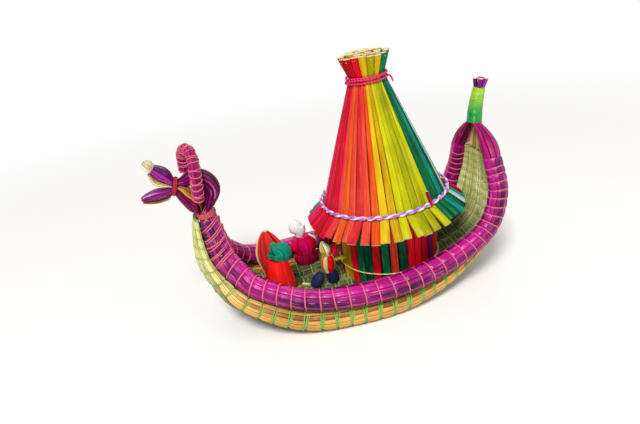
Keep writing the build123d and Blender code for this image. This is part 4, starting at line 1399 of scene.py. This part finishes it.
# Dolls of folded straw. Columns: node, colour, slot, folds, and rows of x, y, z, half depth and
# half width.
DOLL_PIECES = [
    ("doll_bow_skirt", "scarlet", "red_straw", 4, [
        (55.5, 12.0, 19.48, 8.6, 8.6), (55.5, 12.0, 24.48, 9.8, 9.6), (55.5, 12.0, 34.48, 9.2, 8.8),
        (55.5, 12.0, 45.98, 6.6, 6.0),]),
    ("doll_bow_shawl", "jade", "green_straw", 4, [
        (53.5, 12.0, 46.28, 7.2, 5.4), (52.7, 12.0, 49.28, 8.0, 6.0), (52.7, 12.0, 51.78, 6.8, 5.2),
        (55.3, 12.0, 54.78, 3.8, 3.4), (56.3, 12.0, 57.78, 1.8, 1.8),]),
    ("doll_bow_cape", "red", "salmon_straw", 12, [
        (59.5, -1.0, 16.69, 2.0, 1.6), (59.7, -1.0, 28.69, 4.4, 2.2), (58.5, -0.5, 40.69, 8.8, 2.4),
        (58.1, 0.0, 49.69, 9.2, 2.2), (58.7, 0.5, 57.69, 6.2, 1.8), (58.7, 1.0, 63.19, 2.2, 1.2),]),
    ("doll_far_skirt", "crimson_aft", "crimson_straw", 9, [
        (28.6, -28.0, 16.97, 8.0, 6.0), (28.6, -28.0, 20.97, 9.4, 7.0),
        (28.6, -28.0, 25.57, 8.2, 6.4),]),
    ("doll_far_body", "magenta", "crimson_straw", 8, [
        (29.1, -28.0, 25.87, 7.4, 6.0), (29.0, -28.0, 30.37, 10.2, 7.0),
        (29.8, -28.0, 34.37, 10.2, 6.6), (30.6, -28.0, 38.87, 6.4, 5.0),]),
    ("doll_far_hat", "white", "white_straw", 3, [
        (31.6, -28.0, 39.17, 2.8, 2.6), (31.0, -28.0, 43.67, 5.2, 4.0),
        (32.2, -28.0, 47.97, 6.2, 3.8), (30.6, -28.0, 51.47, 2.4, 2.2),]),
    ("doll_hut_skirt", "navy", "navy_straw", 7, [
        (18.1, 9.0, 16.82, 4.0, 3.8), (18.1, 9.0, 20.82, 4.4, 4.2), (19.9, 9.0, 24.82, 3.4, 3.4),]),
    ("doll_hut_body", "orange", "orange_straw", 7, [
        (20.5, 9.0, 25.12, 3.4, 3.2), (20.5, 9.0, 30.12, 4.8, 4.2), (20.0, 9.0, 35.12, 4.6, 3.8),
        (20.0, 9.0, 38.12, 3.0, 2.8),]),
    ("doll_hut_head", "pale", "lime_straw", 7, [
        (20.7, 9.0, 38.42, 2.2, 2.2), (20.9, 9.0, 42.42, 3.8, 3.4), (21.7, 9.0, 45.92, 3.0, 2.6),
        (22.5, 9.0, 48.42, 1.3, 1.3),]),
    ("doll_hut_apron", "navy", "navy_straw", 4, [
        (33.7, 11.0, 17.27, 1.8, 2.6), (31.1, 11.0, 20.07, 3.8, 4.6), (28.1, 11.0, 23.47, 3.8, 4.6),
        (26.3, 11.0, 26.07, 2.2, 3.0),]),
    ("doll_hut_petal", "crimson", "crimson_straw", 5, [
        (14.1, 8.4, 36.12, 1.4, 2.4), (14.5, 8.2, 40.12, 2.4, 4.0), (14.7, 8.0, 44.52, 1.2, 2.0),]),
    ("doll_hut_arm", "lime", "lime_straw", 5, [
        (15.1, 10.2, 33.52, 1.0, 1.2), (12.1, 10.6, 33.92, 0.9, 1.0), (9.9, 10.8, 33.72, 1.9, 1.9),
        (7.9, 11.0, 33.52, 0.9, 0.9),]),
]
# Which colours the folds of a doll's piece take in turn, where it has more than one
FOLD_MIXES = {
    "doll_bow_cape": "pale rosy rosy rosy red rosy red rosy rosy red rosy rosy",
    "doll_far_body": "magenta crimson magenta crimson white magenta crimson magenta",
    "doll_hut_body": "orange pale red gold lime",
    "doll_hut_head": "pale lime white",
}


class REEDBOAT_OT_dolls(bpy.types.Operator):
    """Builds the three dolls of folded straw on the floor"""

    bl_idname = "reedboat.dolls"
    bl_label = "Dolls"

    def execute(self, context):
        for node, tint, slot, folds, rows in DOLL_PIECES:
            random = Random(node)
            shell = new_shell()
            finishes, mix = straw_finishes(FOLD_MIXES.get(node, tint))
            tones = tone_list(random, folds, 0.5, 1.0)
            sweep(shell, stations_of(refined(rows, 6)), fold_outline(folds, node), tones, mix)
            settle(piece_name(node), shell, finishes, [node])
        shell = new_shell()
        random = Random("stubs")
        finishes, mix = straw_finishes("gold lime pale")
        for k, (x, y, turn) in enumerate(FLOOR_STUBS):
            along = Vector((cos(turn), sin(turn), 0.12))
            foot = Vector((x, y, 19.2)) - along * 2.6
            rows = [(*(foot + along * out), 0.5, 1.1) for out in (0.0, 2.6, 5.2)]
            sweep(shell, stations_of(rows), flat_outline(10), tone_list(random, 1),
                  (mix[k % len(mix)],), (0, -1), (0.2, 0.5))
        settle("FloorStubs", shell, finishes, [])
        return {"FINISHED"}


class REEDBOAT_PT_panel(bpy.types.Panel):
    """Sizes, colours and pieces of the reed boat"""

    bl_idname = "REEDBOAT_PT_panel"
    bl_label = "Reed Boat"
    bl_space_type = "VIEW_3D"
    bl_region_type = "UI"
    bl_category = "Reed Boat"

    def draw(self, context):
        for group in (context.scene.reedboat_sizes, context.scene.reedboat_colours):
            for key in group.__annotations__:
                self.layout.prop(group, key)
        for operator in OPERATORS:
            self.layout.operator(operator.bl_idname)


OPERATORS = (
    REEDBOAT_OT_stage,
    REEDBOAT_OT_rolls,
    REEDBOAT_OT_gunwales,
    REEDBOAT_OT_head,
    REEDBOAT_OT_stern,
    REEDBOAT_OT_hut,
    REEDBOAT_OT_roof,
    REEDBOAT_OT_top,
    REEDBOAT_OT_dolls,
)
CLASSES = (REEDBOAT_Sizes, REEDBOAT_Colours, *OPERATORS, REEDBOAT_PT_panel)


def register():
    for cls in CLASSES:
        bpy.utils.register_class(cls)
    bpy.types.Scene.reedboat_sizes = bpy.props.PointerProperty(type=REEDBOAT_Sizes)
    bpy.types.Scene.reedboat_colours = bpy.props.PointerProperty(type=REEDBOAT_Colours)


def unregister():
    del bpy.types.Scene.reedboat_colours
    del bpy.types.Scene.reedboat_sizes
    for cls in reversed(CLASSES):
        bpy.utils.unregister_class(cls)


def main():
    register()
    bpy.ops.reedboat.stage()
    bpy.ops.reedboat.rolls()
    bpy.ops.reedboat.gunwales()
    bpy.ops.reedboat.head()
    bpy.ops.reedboat.stern()
    bpy.ops.reedboat.hut()
    bpy.ops.reedboat.roof()
    bpy.ops.reedboat.top()
    bpy.ops.reedboat.dolls()


if __name__ == "__main__":
    main()
